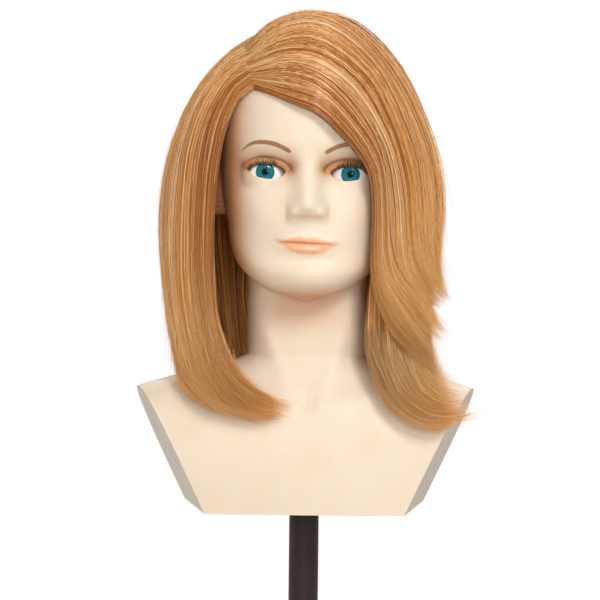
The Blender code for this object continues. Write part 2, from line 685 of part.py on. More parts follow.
def make_pole(tilter):
    paint = material("pole_paint", (0.028, 0.020, 0.018), 0.38, 0.3)
    cast = material("knuckle_paint", (0.030, 0.026, 0.026), 0.45, 0.2)
    steel = material("grub_screw_steel", (0.25, 0.25, 0.26), 0.35, 1.0)
    tube = [
        (POLE_BORE, POLE_BOTTOM),
        (POLE_RADIUS, POLE_BOTTOM),
        (POLE_RADIUS, POLE_TOP),
        (POLE_BORE, POLE_TOP),
    ]
    pole = add_object("pole", turned_bmesh(tube, sides=36), paint, tilter)

    tongue = []
    for i in range(13):
        turn = math.pi + math.pi * i / 12
        tongue.append((CHEEK_RADIUS * 0.9 * math.cos(turn), PIVOT + CHEEK_RADIUS * 0.9 * math.sin(turn)))
    tongue += [(CHEEK_RADIUS * 0.9, PIVOT + 22), (-CHEEK_RADIUS * 0.9, PIVOT + 22)]
    body = prism_bmesh(tongue, "X", -TONGUE_HALF, TONGUE_HALF)
    knuckle = add_object("tilt_knuckle", body, cast, tilter, smooth=False)
    collar_low = PIVOT + 20
    profile = [(0, collar_low), (KNUCKLE_RADIUS - 2, collar_low), (KNUCKLE_RADIUS, collar_low + 2)]
    profile += [(KNUCKLE_RADIUS, KNUCKLE_TOP - 1), (KNUCKLE_RADIUS - 1, KNUCKLE_TOP), (0, KNUCKLE_TOP)]
    collar = add_object("collar_union", turned_bmesh(profile, sides=32), None)
    collar.hide_render = True
    collar.display_type = "WIRE"
    join = knuckle.modifiers.new("collar", "BOOLEAN")
    join.operation = "UNION"
    join.object = collar
    bore = rod_bmesh(POLE_RADIUS + 0.3, POLE_BOTTOM - 0.4, KNUCKLE_TOP + 5, sides=36)
    cut(knuckle, add_object("knuckle_bore_cutter", bore, None))
    hole = rod_bmesh(PIN_RADIUS + 0.3, -20, 20, "X", (0, 0, PIVOT))
    cut(knuckle, add_object("knuckle_pin_cutter", hole, None))

    height = KNUCKLE_TOP - 8
    screw = rod_bmesh(2.5, 12.4, 17.2, "Y", (0, 0, height), 12, 0.4)
    add_object("pole_grub_screw", screw, steel, tilter)
    cut(knuckle, add_object("grub_cutter", rod_bmesh(2.8, 11, 20, "Y", (0, 0, height), 12), None))

    for name, side in (("left", -1), ("right", 1)):
        near = side * (TONGUE_HALF + 0.3)
        far = side * (TONGUE_HALF + 0.3 + WASHER_THICK)
        ring = [(PIN_RADIUS + 0.3, near), (13.0, near), (13.0, far), (PIN_RADIUS + 0.3, far)]
        washer = turned_bmesh(ring, "X", (0, 0, PIVOT), 24)
        fibre = material("friction_fibre_" + name, (0.30, 0.17, 0.10), 0.8)
        add_object("friction_washer_" + name, washer, fibre, tilter)
    return pole


def make_yoke():
    cast = material("yoke_paint", (0.030, 0.026, 0.026), 0.45, 0.2)
    steel = material("bolt_steel", (0.30, 0.30, 0.31), 0.3, 1.0)
    foot = ARM_TOP + 0.3
    outer = CHEEK_IN + CHEEK_THICK
    outline = [
        (-outer, foot),
        (outer, foot),
        (outer, PIVOT + CHEEK_RADIUS),
        (CHEEK_IN, PIVOT + CHEEK_RADIUS),
    ]
    outline += [(CHEEK_IN, foot + 8), (-CHEEK_IN, foot + 8), (-CHEEK_IN, PIVOT + CHEEK_RADIUS)]
    outline += [(-outer, PIVOT + CHEEK_RADIUS)]
    profile = prism_bmesh(outline, "Y", -CHEEK_RADIUS, CHEEK_RADIUS)
    yoke = add_object("tilt_yoke", profile, cast, smooth=False)
    ends = [(-CHEEK_RADIUS - 5, PIVOT), (-CHEEK_RADIUS - 5, PIVOT + 40), (CHEEK_RADIUS + 5, PIVOT + 40)]
    ends += [(CHEEK_RADIUS + 5, PIVOT)]
    for i in range(13):
        turn = math.pi * i / 12
        ends.append((CHEEK_RADIUS * math.cos(turn), PIVOT + CHEEK_RADIUS * math.sin(turn) + 0.01))
    cut(yoke, add_object("cheek_round_cutter", prism_bmesh(ends, "X", -30, 30), None))
    hole = rod_bmesh(PIN_RADIUS + 0.3, -30, 30, "X", (0, 0, PIVOT))
    cut(yoke, add_object("yoke_pin_cutter", hole, None))

    # The bolt that holds the yoke on the clamp frame, from above
    foot_top = foot + 8
    profile = [(0, ARM_TOP - 9), (3.7, ARM_TOP - 9), (3.7, foot_top + 0.3), (6.5, foot_top + 0.3)]
    profile += [(6.5, foot_top + 5), (5.8, foot_top + 5.7), (0, foot_top + 5.7)]
    add_object("yoke_bolt", turned_bmesh(profile, sides=20), steel)
    cut(yoke, add_object("yoke_bolt_cutter", rod_bmesh(4.1, 5, foot_top + 2, sides=20), None))

    # The pivot bolt across the tilt joint: a round head, a shank, and the lever's thread
    head = -(outer + 0.3)
    profile = [(0, head - 4.5), (6.0, head - 4.5), (8.0, head - 2.5), (8.0, head), (PIN_RADIUS, head)]
    profile += [(PIN_RADIUS, outer + 11), (0, outer + 11)]
    add_object("pivot_bolt", turned_bmesh(profile, "X", (0, 0, PIVOT), 24), steel)


def make_lever(locker):
    cast = material("lever_zinc", (0.45, 0.44, 0.43), 0.35, 1.0)
    grip = material("lever_grip_plastic", (0.02, 0.02, 0.02), 0.4)
    near = CHEEK_IN + CHEEK_THICK + 0.3
    far = near + 13
    profile = [(0, near), (9.5, near), (10.5, near + 1), (10.5, far - 2), (8.5, far), (0, far)]
    hub = add_object("tilt_lever_hub", turned_bmesh(profile, "X", (0, 0, PIVOT), 28), cast, locker)
    hole = rod_bmesh(PIN_RADIUS + 0.3, near - 2, near + 11.6, "X", (0, 0, PIVOT))
    cut(hub, add_object("hub_thread_cutter", hole, None))
    start = Vector((near + 6.5, 10.9, PIVOT + 1))
    route = (
        start,
        Vector((near + 8, 32, PIVOT + 5)),
        Vector((near + 13, 52, PIVOT + 9)),
        Vector((near + 16, 72, PIVOT + 12)),
    )
    curve = bpy.data.curves.new("tilt_lever_arm", "CURVE")
    curve.dimensions = "3D"
    curve.bevel_depth = 3.4 * MM
    curve.bevel_resolution = 2
    curve.use_fill_caps = True
    line = curve.splines.new("POLY")
    line.points.add(len(route) - 1)
    for point, place in zip(line.points, route):
        point.co = (*(place * MM), 1.0)
    curve.materials.append(grip)
    arm = bpy.data.objects.new("tilt_lever_arm", curve)
    bpy.context.scene.collection.objects.link(arm)
    arm.parent = locker
    arm.matrix_parent_inverse = Matrix.Translation(-locker.location)


def make_clamp():
    cast = material("clamp_paint", (0.030, 0.026, 0.026), 0.45, 0.2)
    rubber = material("seat_rubber", (0.035, 0.035, 0.035), 0.8)
    low = SEAT_THICK + 0.3
    outline = [
        (SPINE_OUT, LOWER_ARM_BOTTOM),
        (14, LOWER_ARM_BOTTOM),
        (18, LOWER_ARM_TOP),
        (SPINE_IN, LOWER_ARM_TOP),
    ]
    outline += [(SPINE_IN, low), (44, low), (44, ARM_TOP - 4), (30, ARM_TOP), (SPINE_OUT + 4, ARM_TOP)]
    outline += [(SPINE_OUT, ARM_TOP - 4)]
    profile = prism_bmesh(outline, "X", -FRAME_HALF, FRAME_HALF)
    frame = add_object("clamp_frame", profile, cast, smooth=False)
    thread = rod_bmesh(SCREW_RADIUS + 0.3, LOWER_ARM_BOTTOM - 5, LOWER_ARM_TOP + 5)
    cut(frame, add_object("thread_cutter", thread, None))
    cut(frame, add_object("frame_bolt_cutter", rod_bmesh(4.1, ARM_TOP - 11.6, ARM_TOP + 5, sides=20), None))
    round_edges(frame, 1.2, 1)

    seat = [(SPINE_IN + 2, 0), (42, 0), (42, SEAT_THICK), (SPINE_IN + 2, SEAT_THICK)]
    add_object("seat_pad", prism_bmesh(seat, "X", -FRAME_HALF + 1, FRAME_HALF - 1), rubber, smooth=False)


def make_pressure_pad(lifter):
    steel = material("pad_steel", (0.42, 0.42, 0.43), 0.35, 1.0)
    rubber = material("pad_rubber", (0.035, 0.035, 0.035), 0.8)
    facing = [(0, PAD_FACE - 2.2), (PAD_RADIUS - 1, PAD_FACE - 2.2), (PAD_RADIUS - 1, PAD_FACE - 0.5)]
    facing += [(PAD_RADIUS - 1.5, PAD_FACE), (0, PAD_FACE)]
    add_object("pressure_pad_facing", turned_bmesh(facing, sides=32), rubber, lifter)
    top = PAD_FACE - 2.5
    profile = [(0, top), (PAD_RADIUS, top), (PAD_RADIUS, top - 4), (10, top - 6.5), (10, top - 15)]
    profile += [(5.3, top - 15), (5.3, top - 6), (0, top - 6)]
    add_object("pressure_pad", turned_bmesh(profile[::-1], sides=32), steel, lifter)


def make_screw(spinner):
    steel = material("screw_steel", (0.42, 0.41, 0.40), 0.3, 1.0)
    cap = material("tommy_cap_plastic", (0.02, 0.02, 0.02), 0.45)
    tip = PAD_FACE - 2.5 - 6 - 0.4
    shoulder = tip - 9.5
    profile = [(0, TOMMY_Z - 11), (9.5, TOMMY_Z - 11), (11, TOMMY_Z - 9.5), (11, TOMMY_Z + 9.5)]
    profile += [(9.5, TOMMY_Z + 11), (SCREW_RADIUS, TOMMY_Z + 11), (SCREW_RADIUS, shoulder)]
    profile += [(5.0, shoulder), (5.0, tip - 1), (4.0, tip), (0, tip)]
    screw = add_object("clamp_screw", turned_bmesh(profile, sides=28), steel, spinner)
    hole = rod_bmesh(4.3, -20, 20, "X", (0, 0, TOMMY_Z), 20)
    cut(screw, add_object("tommy_cutter", hole, None))
    return steel, cap


def make_tommy_bar(slider, steel, cap):
    bar = rod_bmesh(4.0, -TOMMY_HALF, TOMMY_HALF, "X", (0, 0, TOMMY_Z), 20, 0.5)
    add_object("tommy_bar", bar, steel, slider)
    for name, side in (("left", -1), ("right", 1)):
        far = side * (TOMMY_HALF + 3)
        near = side * (TOMMY_HALF - 8)
        floor = side * (TOMMY_HALF + 0.3)
        profile = [(4.3, near), (6.3, near), (6.8, near + side), (6.8, far - side * 1.5), (5.3, far)]
        profile += [(0, far), (0, floor), (4.3, floor)]
        add_object("tommy_cap_" + name, turned_bmesh(profile, "X", (0, 0, TOMMY_Z), 24), cap, slider)


def main():
    clear_scene()
    tilter = joint_empty("tilt_axis", (0, 0, PIVOT))
    locker = joint_empty("lever_axis", (0, 0, PIVOT))
    turner = joint_empty("head_turn_axis", (0, 0, BUST_BOTTOM))
    head = joint_empty("head_axis", (0, 0, BUST_BOTTOM))
    lifter = joint_empty("pad_axis", (0, 0, PAD_FACE))
    spinner = joint_empty("screw_axis", (0, 0, TOMMY_Z))
    slider = joint_empty("tommy_axis", (0, 0, TOMMY_Z))
    make_head(head)
    make_hair(head)
    make_bush(turner)
    make_pole(tilter)
    make_yoke()
    make_lever(locker)
    make_clamp()
    make_pressure_pad(lifter)
    steel, cap = make_screw(spinner)
    make_tommy_bar(slider, steel, cap)


main()
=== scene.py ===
"""Mannequin training head: fine skin, eyes, lashes and hair, the clamp's finishes, and a studio.

The head is described in the head frame: millimetres above the flat bottom of the bust, the face
looking along -Y and +X on the viewer's right. Everything is placed in the CAD's frame at rest.
"""

import json
import math

import bmesh
import bpy
import numpy as np
from mathutils import Matrix, Vector


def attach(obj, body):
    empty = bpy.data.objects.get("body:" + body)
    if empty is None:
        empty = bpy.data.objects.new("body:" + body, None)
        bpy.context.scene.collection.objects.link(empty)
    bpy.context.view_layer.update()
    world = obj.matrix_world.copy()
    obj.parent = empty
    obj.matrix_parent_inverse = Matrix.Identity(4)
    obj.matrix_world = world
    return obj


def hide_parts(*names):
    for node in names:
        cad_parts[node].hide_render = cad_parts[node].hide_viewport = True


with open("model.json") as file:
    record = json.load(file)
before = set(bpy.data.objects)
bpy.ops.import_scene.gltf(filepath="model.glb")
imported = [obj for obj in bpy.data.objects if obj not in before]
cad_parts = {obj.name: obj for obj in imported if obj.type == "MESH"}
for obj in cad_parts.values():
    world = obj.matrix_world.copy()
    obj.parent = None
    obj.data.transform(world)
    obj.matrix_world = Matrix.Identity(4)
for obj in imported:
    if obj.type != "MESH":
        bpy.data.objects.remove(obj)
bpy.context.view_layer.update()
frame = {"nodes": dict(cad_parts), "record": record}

MM = 0.001
BUST_BOTTOM = 185.0
CROWN = 394.0
JAW = 170.0
NECK_TOP = 330.0
SHOULDER_TOP = 128.0
# The bust's flat sides: half-widths at the bottom and at SIDE_HEIGHT, and a turn to the front
SIDE_BOTTOM = 93.0
SIDE_TOP = 139.0
SIDE_HEIGHT = 98.0
SIDE_TURN = math.radians(10.0)
# The eyeballs, which the lids cover by LID, and the slopes of the eyes, the brows and the mouth
# down towards the viewer's right
EYE_X = 33.5
EYE_Y = -48.5
EYE_Z = 268.5
EYE_RADIUS = 17.4
LID = 1.5
EYE_SLOPE = 0.02
BROW_SLOPE = 0.012
MOUTH_SLOPE = 0.045
MOUTH_LINE = 213.0
# The opening between the lids, over the distance from the middle of the face
OPEN_MIDDLE = 32.0
OPEN_HALF = 13.1
OPEN_UP = 5.6
OPEN_DOWN = 5.4
# Around each eye a finer patch of skin is bridged into a hole, both this far from the opening
PATCH_REACH = 9.5
PATCH_HOLE = 10.4
EYE_HOLES_ABOVE = 0.4  # metres: the skin's other open edge is the bottom of the bust
rng = np.random.default_rng(7)

# ---- Smooth curves and fields --------------------------------------------------------------------


def smooth_curve(*keys):
    """A smooth function through (place, value) keys, constant past its ends."""
    places = np.array([key[0] for key in keys], float)
    values = np.array([key[1] for key in keys], float)
    slopes = np.gradient(values, places)
    fine = np.linspace(places[0], places[-1], 900)
    left = np.clip(np.searchsorted(places, fine, side="right") - 1, 0, len(places) - 2)
    span = places[left + 1] - places[left]
    t = (fine - places[left]) / span
    rise = (2 * t**3 - 3 * t**2 + 1) * values[left] + (3 * t**2 - 2 * t**3) * values[left + 1]
    bend = (t**3 - 2 * t**2 + t) * slopes[left] + (t**3 - t**2) * slopes[left + 1]
    table = rise + bend * span
    return lambda at: np.interp(at, fine, table)


def smooth_min(a, b, radius):
    """The smaller of two fields, blended where they are closer than radius."""
    h = np.clip(0.5 + 0.5 * (b - a) / radius, 0.0, 1.0)
    return b + (a - b) * h - radius * h * (1.0 - h)


def smooth_step(low_edge, high_edge, value):
    """0 before the first edge, 1 after the second, and smooth between them."""
    t = np.clip((value - low_edge) / (high_edge - low_edge), 0.0, 1.0)
    return t * t * (3 - 2 * t)


def hill(value, centre, spread):
    """A rounded hill of height 1 over one coordinate."""
    return np.exp(-(((value - centre) / spread) ** 2))


def bump(along, across, centre, spread):
    """The same over two coordinates."""
    first = (along - centre[0]) / spread[0]
    second = (across - centre[1]) / spread[1]
    return np.exp(-(first**2) - second**2)


def unit(vectors):
    """Vectors in the last axis, scaled to length 1."""
    return vectors / (np.linalg.norm(vectors, axis=-1, keepdims=True) + 1e-9)


def last_inside(inside, near, far, steps):
    """Bisects from near, where inside() holds, to far, for the last place where it holds."""
    for _ in range(steps):
        middle = 0.5 * (near + far)
        held = inside(middle)
        near = np.where(held, middle, near)
        far = np.where(held, far, middle)
    return near


# Half-width, front, back and middle of the head at each height, then the same for the bust
HEAD_WIDTH = smooth_curve(
    (169, 1), (171, 10), (173, 18), (176, 26), (180, 33.5), (185, 41.5), (190, 48.5), (196, 54),
    (203, 58), (212, 61), (232, 64.5), (250, 68), (268, 70.5), (290, 72.5), (315, 74), (340, 72),
    (360, 64), (378, 49), (388, 33), (393, 15), (394, 1),
)
HEAD_FRONT = smooth_curve(
    (171, -52), (173, -60), (178, -69), (186, -76), (194, -77.5), (200, -75.5), (206, -74),
    (222, -75.5), (231, -77), (250, -76), (268, -74), (282, -76.5), (292, -80), (310, -82.5),
    (325, -80.5), (345, -72), (365, -56), (380, -36), (390, -14), (394, 5),
)
HEAD_BACK = smooth_curve(
    (171, -46), (180, -20), (190, 0), (203, 22), (220, 48), (235, 62), (255, 77), (280, 89),
    (305, 94), (330, 92), (350, 83), (368, 66), (382, 44), (391, 22), (394, 9),
)
HEAD_MIDDLE = smooth_curve(
    (171, -49), (180, -40), (190, -30), (203, -20), (220, -12), (250, -2), (290, 7), (394, 7)
)
BUST_WIDTH = smooth_curve(
    (-10, 205), (40, 196), (65, 184), (80, 170), (90, 155), (97, 140), (105, 114), (113, 84),
    (120, 56), (125, 30), (128, 4),
)
BUST_FRONT = smooth_curve(
    (-10, -64), (0, -65), (30, -68), (60, -66.5), (80, -61), (95, -52), (107, -42), (118, -30),
    (128, -6),
)
BUST_BACK = smooth_curve((-10, 68), (30, 74), (60, 75), (85, 69), (103, 58), (117, 40), (128, 12))
# How far the nose's ridge stands out at each height, and how wide it is
NOSE_HEIGHT = smooth_curve(
    (226, 0), (229.5, 1.0), (232.5, 4.4), (236, 9.8), (239, 13.6), (242.5, 15.6), (246, 15.4),
    (251, 13.6), (258, 10.8), (266, 8.0), (273, 5.6), (280, 3.4), (288, 1.3), (297, 0),
)
NOSE_SPREAD = smooth_curve(
    (225, 11.0), (236, 11.0), (242, 11.6), (247, 11.6), (253, 11.0), (260, 10.6), (268, 11.0),
    (276, 12.0), (290, 15),
)


def section_distance(x, y, half, front, back, middle, power):
    """Distance in the horizontal plane to an egg-shaped section."""
    from_middle = y - middle
    depth = np.where(from_middle < 0, middle - front, back - middle)
    half = np.maximum(half, 0.5)
    depth = np.maximum(depth, 0.5)
    reach = np.hypot(x, from_middle) + 1e-6
    grow = ((np.abs(x) + 1e-6) / half) ** power + (np.abs(from_middle) / depth) ** power
    return reach * (1.0 - grow ** (-1.0 / power))


def lid_line(x):
    """Height of the line from the inner to the outer corner of an eye."""
    return 268.6 + 0.8 * (np.abs(x) - OPEN_MIDDLE) / OPEN_HALF - EYE_SLOPE * x


def lid_height(x, z):
    """Above 0 outside the opening between the lids, in mm, and below it inside."""
    across = (np.abs(x) - OPEN_MIDDLE) / OPEN_HALF
    up = z - lid_line(x)
    rise = np.where(up > 0, OPEN_UP, OPEN_DOWN)
    reach = np.sqrt(across**2 + (up / rise) ** 2) + 1e-6
    local = 1.0 / np.sqrt((across / reach / OPEN_HALF) ** 2 + (up / rise / reach / rise) ** 2)
    return (reach - 1.0) * local


def face_relief(x, z):
    """How far the features stand forward of the plain front of the head."""
    side = np.abs(x)
    nose = NOSE_HEIGHT(z) * np.exp(-((side / NOSE_SPREAD(z)) ** 2.3))
    nose = nose + 5.2 * bump(side, z, (11.4, 236.6), (4.4, 5.6))
    nose = nose - 0.9 * bump(side, z, (16.8, 237.0), (1.6, 5.5))
    sockets = -6.5 * bump(side, z, (31, 271), (17, 10)) - 4.5 * bump(side, z, (15, 272), (6, 9))
    brow = 2.4 * bump(side, z, (29, 291), (24, 8))
    cheeks = 3.0 * bump(side, z, (45, 242), (18, 18)) - 1.0 * bump(side, z, (42, 211), (14, 14))
    mouth = 4.0 * bump(side, z, (0, 211), (24, 15))
    level = z + MOUTH_SLOPE * x
    lip_span = np.exp(-((side / 19.8) ** 4))
    bow = 0.7 * hill(side, 4.5, 3.0) - 0.5 * hill(side, 0.0, 2.2)
    upper_lip = 2.5 * hill(level, 215.4 + bow, 2.5)
    lower_lip = 3.4 * hill(level, 208.8, 3.6)
    seam = -1.9 * hill(level, MOUTH_LINE + 0.001 * side**2, 0.9)
    lips = lip_span * (upper_lip + lower_lip + seam)
    corners = -1.5 * bump(side, level, (22.8, 213.2), (3.4, 2.0))
    groove = 0.8 * bump(side, z, (0, 229), (14, 4)) - 0.35 * bump(side, z, (0, 223.5), (3.4, 4.5))
    chin = 3.0 * bump(side, z, (0, 186), (17, 10)) - 2.6 * bump(side, z, (0, 199), (16, 4.5))
    return nose + sockets + brow + cheeks + mouth + lips + corners + groove + chin


def head_field(x, y, z):
    """The head without its ears. Like every field here, it is below 0 inside the shape."""
    middle = HEAD_MIDDLE(z)
    facing = np.clip((middle - y) / 30.0, 0.0, 1.0)
    moved = y + facing * face_relief(x, z)
    flat = section_distance(x, moved, HEAD_WIDTH(z), HEAD_FRONT(z), HEAD_BACK(z), middle, 2.05)
    flat = flat + np.maximum(z - CROWN, 0) + np.maximum(JAW - z, 0)
    crown = np.sqrt((x / 72.0) ** 2 + ((y - 7.0) / 87.0) ** 2 + ((z - 312.0) / 82.0) ** 2)
    return np.minimum(flat, 76.0 * (crown - 1.0))


def neck_field(x, y, z):
    """The neck, which leans forward as it rises."""
    middle = 9.0 - 0.06 * (z - 110.0)
    flat = section_distance(x, y, 48.0 + 0 * z, middle - 45.0, middle + 47.0, middle, 2.9)
    return flat + np.maximum(z - NECK_TOP, 0)


def bust_field(x, y, z):
    """The shoulders and the chest."""
    flat = section_distance(x, y, BUST_WIDTH(z), BUST_FRONT(z), BUST_BACK(z), 4.0, 2.5)
    return flat + np.maximum(z - SHOULDER_TOP, 0)


def ear_field(x, y, z):
    """Both ears: a tilted, flattened egg with a hollow inside its rim."""
    lean = y - 8.0 + 0.18 * (z - 258.0)
    out = (np.abs(x) - 72.5) / 7.0
    shape = 7.0 * (np.sqrt(out**2 + (lean / 15.0) ** 2 + ((z - 258.0) / 28.0) ** 2) - 1.0)
    hollow = bump(lean, z, (-1.0, 263.0), (7.5, 13.0)) * smooth_step(72.0, 78.0, np.abs(x))
    return shape + 2.4 * hollow


def ridge(x, z, start, end, width):
    """A rounded line between two points of the front view, mirrored to both sides."""
    side = np.abs(x)
    run = np.array(end, float) - np.array(start, float)
    length = np.hypot(*run)
    t = np.clip(((side - start[0]) * run[0] + (z - start[1]) * run[1]) / length**2, 0, 1)
    away = np.hypot(side - start[0] - t * run[0], z - start[1] - t * run[1])
    return hill(away, 0.0, width) * np.sin(np.pi * np.clip(t, 0.06, 0.94)) ** 0.6


def skin_field(x, y, z):
    """The outer skin, before the bust is cut flat."""
    body = smooth_min(head_field(x, y, z), neck_field(x, y, z), 11.0)
    body = smooth_min(body, bust_field(x, y, z), 24.0)
    body = smooth_min(body, ear_field(x, y, z), 4.0)
    level = z + EYE_SLOPE * x
    eye = np.sqrt((np.abs(x) - EYE_X) ** 2 + (y - EYE_Y) ** 2 + (level - EYE_Z) ** 2)
    body = smooth_min(body, eye - EYE_RADIUS - LID, 3.0)
    front = smooth_step(12.0, -6.0, y)
    tendons = 1.7 * ridge(x, z, (36, 152), (10, 88), 6.5)
    collarbones = 1.5 * ridge(x, z, (12, 86), (92, 101), 6.0)
    notch = 2.2 * bump(x, z, (0, 88), (9, 8)) + 0.9 * bump(np.abs(x), z, (46, 104), (22, 8))
    return body - front * (tendons + collarbones - notch)


def skin_at(points):
    """skin_field for an array of points."""
    return skin_field(*np.moveaxis(points, -1, 0))


# Where the rays that find the skin start, over v from the bottom of the bust to the crown, and how
# steeply they rise, in degrees
RAY_HEIGHT = smooth_curve(
    (0, -8), (0.1, 30), (0.17, 52), (0.24, 62), (0.30, 66), (0.34, 76), (0.38, 98), (0.42, 120),
    (0.46, 142), (0.50, 160), (0.54, 182), (0.58, 205), (0.62, 226), (0.66, 238), (0.72, 246),
    (0.78, 250), (0.84, 253), (0.90, 257), (0.94, 262), (0.97, 268), (1, 272),
)
RAY_SLOPE = smooth_curve(
    (0, 0), (0.10, 0), (0.17, 4), (0.24, 20), (0.30, 36), (0.34, 44), (0.38, 34), (0.42, 17),
    (0.46, 0), (0.50, -8), (0.54, -20), (0.58, -34), (0.62, -40), (0.66, -34), (0.72, -20),
    (0.78, -6), (0.84, 12), (0.90, 30), (0.94, 48), (0.97, 68), (1, 90),
)
RAY_MIDDLE = smooth_curve(
    (0, 4), (0.3, 5), (0.42, 8), (0.5, 6), (0.58, 0), (0.86, 0), (0.94, 5), (1, 8)
)


def surface_grid(rows, columns):
    """Points where rays from the middle meet the skin. Rows and columns are closest in the face."""
    s = np.linspace(0, 1, rows)[:, None]
    v = np.interp(s, [0, 0.16, 0.26, 0.88, 1], [0, 0.36, 0.50, 0.84, 1])
    turn = np.linspace(0.0, 2 * math.pi, columns, endpoint=False)[None, :]
    turn = turn - 0.62 * np.sin(turn)
    slope = np.radians(RAY_SLOPE(v))
    way = np.stack(
        [np.sin(turn) * np.cos(slope), -np.cos(turn) * np.cos(slope), np.sin(slope) + 0 * turn],
        axis=-1,
    )
    start = np.zeros_like(way)
    start[..., 1] = RAY_MIDDLE(v)
    start[..., 2] = RAY_HEIGHT(v)
    near = np.full(way.shape[:2], 3.0)
    far = np.full(way.shape[:2], 260.0)
    reach = last_inside(lambda out: skin_at(start + way * out[..., None]) < 0, near, far, 22)
    return start + way * reach[..., None]


# ---- Mesh and material helpers -------------------------------------------------------------------


def add_object(name, data):
    """Puts new data into the scene under its name."""
    obj = bpy.data.objects.new(name, data)
    bpy.context.scene.collection.objects.link(obj)
    return obj


def add_mesh(name, points, faces, finish, uv=None):
    """A smooth mesh on the head, from points in head-frame millimetres and an array of faces."""
    points = np.asarray(points, np.float32) + np.array([0, 0, BUST_BOTTOM], np.float32)
    faces = np.asarray(faces, np.int32)
    corners = faces.shape[1]
    mesh = bpy.data.meshes.new(name)
    mesh.vertices.add(len(points))
    mesh.vertices.foreach_set("co", (points * MM).ravel())
    mesh.loops.add(faces.size)
    mesh.loops.foreach_set("vertex_index", faces.ravel())
    mesh.polygons.add(len(faces))
    mesh.polygons.foreach_set("loop_start", np.arange(0, faces.size, corners, dtype=np.int32))
    mesh.update(calc_edges=True)
    mesh.shade_smooth()
    if uv is not None:
        layer = mesh.uv_layers.new(name="OFBake")
        layer.uv.foreach_set("vector", np.asarray(uv, np.float32)[faces.ravel()].ravel())
    mesh.materials.append(finish)
    obj = add_object(name, mesh)
    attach(obj, "head")
    return obj


class Nodes:
    """Short names for building a material's nodes."""

    def __init__(self, name):
        self.material = bpy.data.materials.new(name)
        self.material.use_nodes = True
        self.tree = self.material.node_tree
        self.shader = self.tree.nodes["Principled BSDF"]

    def make(self, kind, inputs=(), **settings):
        """A new node, with its settings and with its inputs set or linked."""
        node = self.tree.nodes.new(kind)
        for key, value in settings.items():
            setattr(node, key, value)
        for key, value in dict(inputs).items():
            self.feed(node.inputs[key], value)
        return node

    def feed(self, socket, value):
        """Links an output to a socket, or sets the socket to a number or colour."""
        if isinstance(value, bpy.types.NodeSocket):
            self.tree.links.new(value, socket)
        else:
            socket.default_value = value

    def shade(self, **inputs):
        """Feeds the shader's inputs, with _ for the spaces in their names."""
        for key, value in inputs.items():
            self.feed(self.shader.inputs[key.replace("_", " ")], value)

    def place(self, stretch=(1, 1, 1)):
        """The place on the object, in metres."""
        return self.stretch(self.make("ShaderNodeTexCoord").outputs["Object"], stretch)

    def stretch(self, vector, scale):
        """Coordinates scaled along each axis."""
        return self.make("ShaderNodeMapping", {"Vector": vector, "Scale": scale}).outputs["Vector"]

    def split(self, vector):
        """The X, Y and Z of a vector."""
        parts = self.make("ShaderNodeSeparateXYZ", {"Vector": vector})
        return parts.outputs["X"], parts.outputs["Y"], parts.outputs["Z"]

    def bake_uv(self):
        """The texture coordinates of a strand or an eyeball."""
        return self.make("ShaderNodeUVMap", uv_map="OFBake").outputs["UV"]

    def noise(self, vector, scale, detail=4.0, roughness=0.55):
        inputs = {"Vector": vector, "Scale": scale, "Detail": detail, "Roughness": roughness}
        return self.make("ShaderNodeTexNoise", inputs).outputs["Fac"]

    def ramp(self, value, *stops):
        """A colour looked up between (place, colour) stops."""
        node = self.make("ShaderNodeValToRGB", {"Fac": value})
        items = node.color_ramp.elements
        while len(items) < len(stops):
            items.new(0.5)
        for item, (place, colour) in zip(items, stops):
            item.position = place
            item.color = (*colour, 1.0)
        return node.outputs["Color"]

    def spread(self, value, low_out, high_out, low_in=0.3, high_in=0.7):
        """A value mapped from one range to another, and kept within it."""
        inputs = {0: value, 1: low_in, 2: high_in, 3: low_out, 4: high_out}
        return self.make("ShaderNodeMapRange", inputs).outputs[0]

    def math(self, operation, a, b=0.0):
        return self.make("ShaderNodeMath", {0: a, 1: b}, operation=operation).outputs[0]

    def add(self, a, b):
        return self.math("ADD", a, b)

    def times(self, a, b):
        return self.math("MULTIPLY", a, b)

    def less(self, a, b):
        return self.math("SUBTRACT", a, b)

    def apart(self, a, b):
        """The distance between two values."""
        return self.math("ABSOLUTE", self.less(a, b))

    def mix(self, fraction, a, b):
        node = self.make("ShaderNodeMix", data_type="RGBA")
        self.feed(node.inputs[0], fraction)
        for socket, value in ((node.inputs[6], a), (node.inputs[7], b)):
            if isinstance(value, tuple):
                value = (*value, 1.0)
            self.feed(socket, value)
        return node.outputs[2]

    def curve(self, value, keys):
        """A value looked up on a smooth curve through (place, value) keys."""
        places, heights = [key[0] for key in keys], [key[1] for key in keys]
        span, rise = places[-1] - places[0], max(heights) - min(heights)
        unit = self.spread(value, 0.0, 1.0, places[0], places[-1])
        node = self.make("ShaderNodeFloatCurve", {"Value": unit})
        points = node.mapping.curves[0].points
        for place, height in keys[1:-1]:
            points.new((place - places[0]) / span, (height - min(heights)) / rise)
        points[0].location = (0.0, (heights[0] - min(heights)) / rise)
        points[len(points) - 1].location = (1.0, (heights[-1] - min(heights)) / rise)
        node.mapping.update()
        return self.spread(node.outputs[0], min(heights), max(heights), 0.0, 1.0)

    def bump(self, height, strength, distance=0.0002):
        inputs = {"Height": height, "Strength": strength, "Distance": distance}
        return self.make("ShaderNodeBump", inputs).outputs["Normal"]


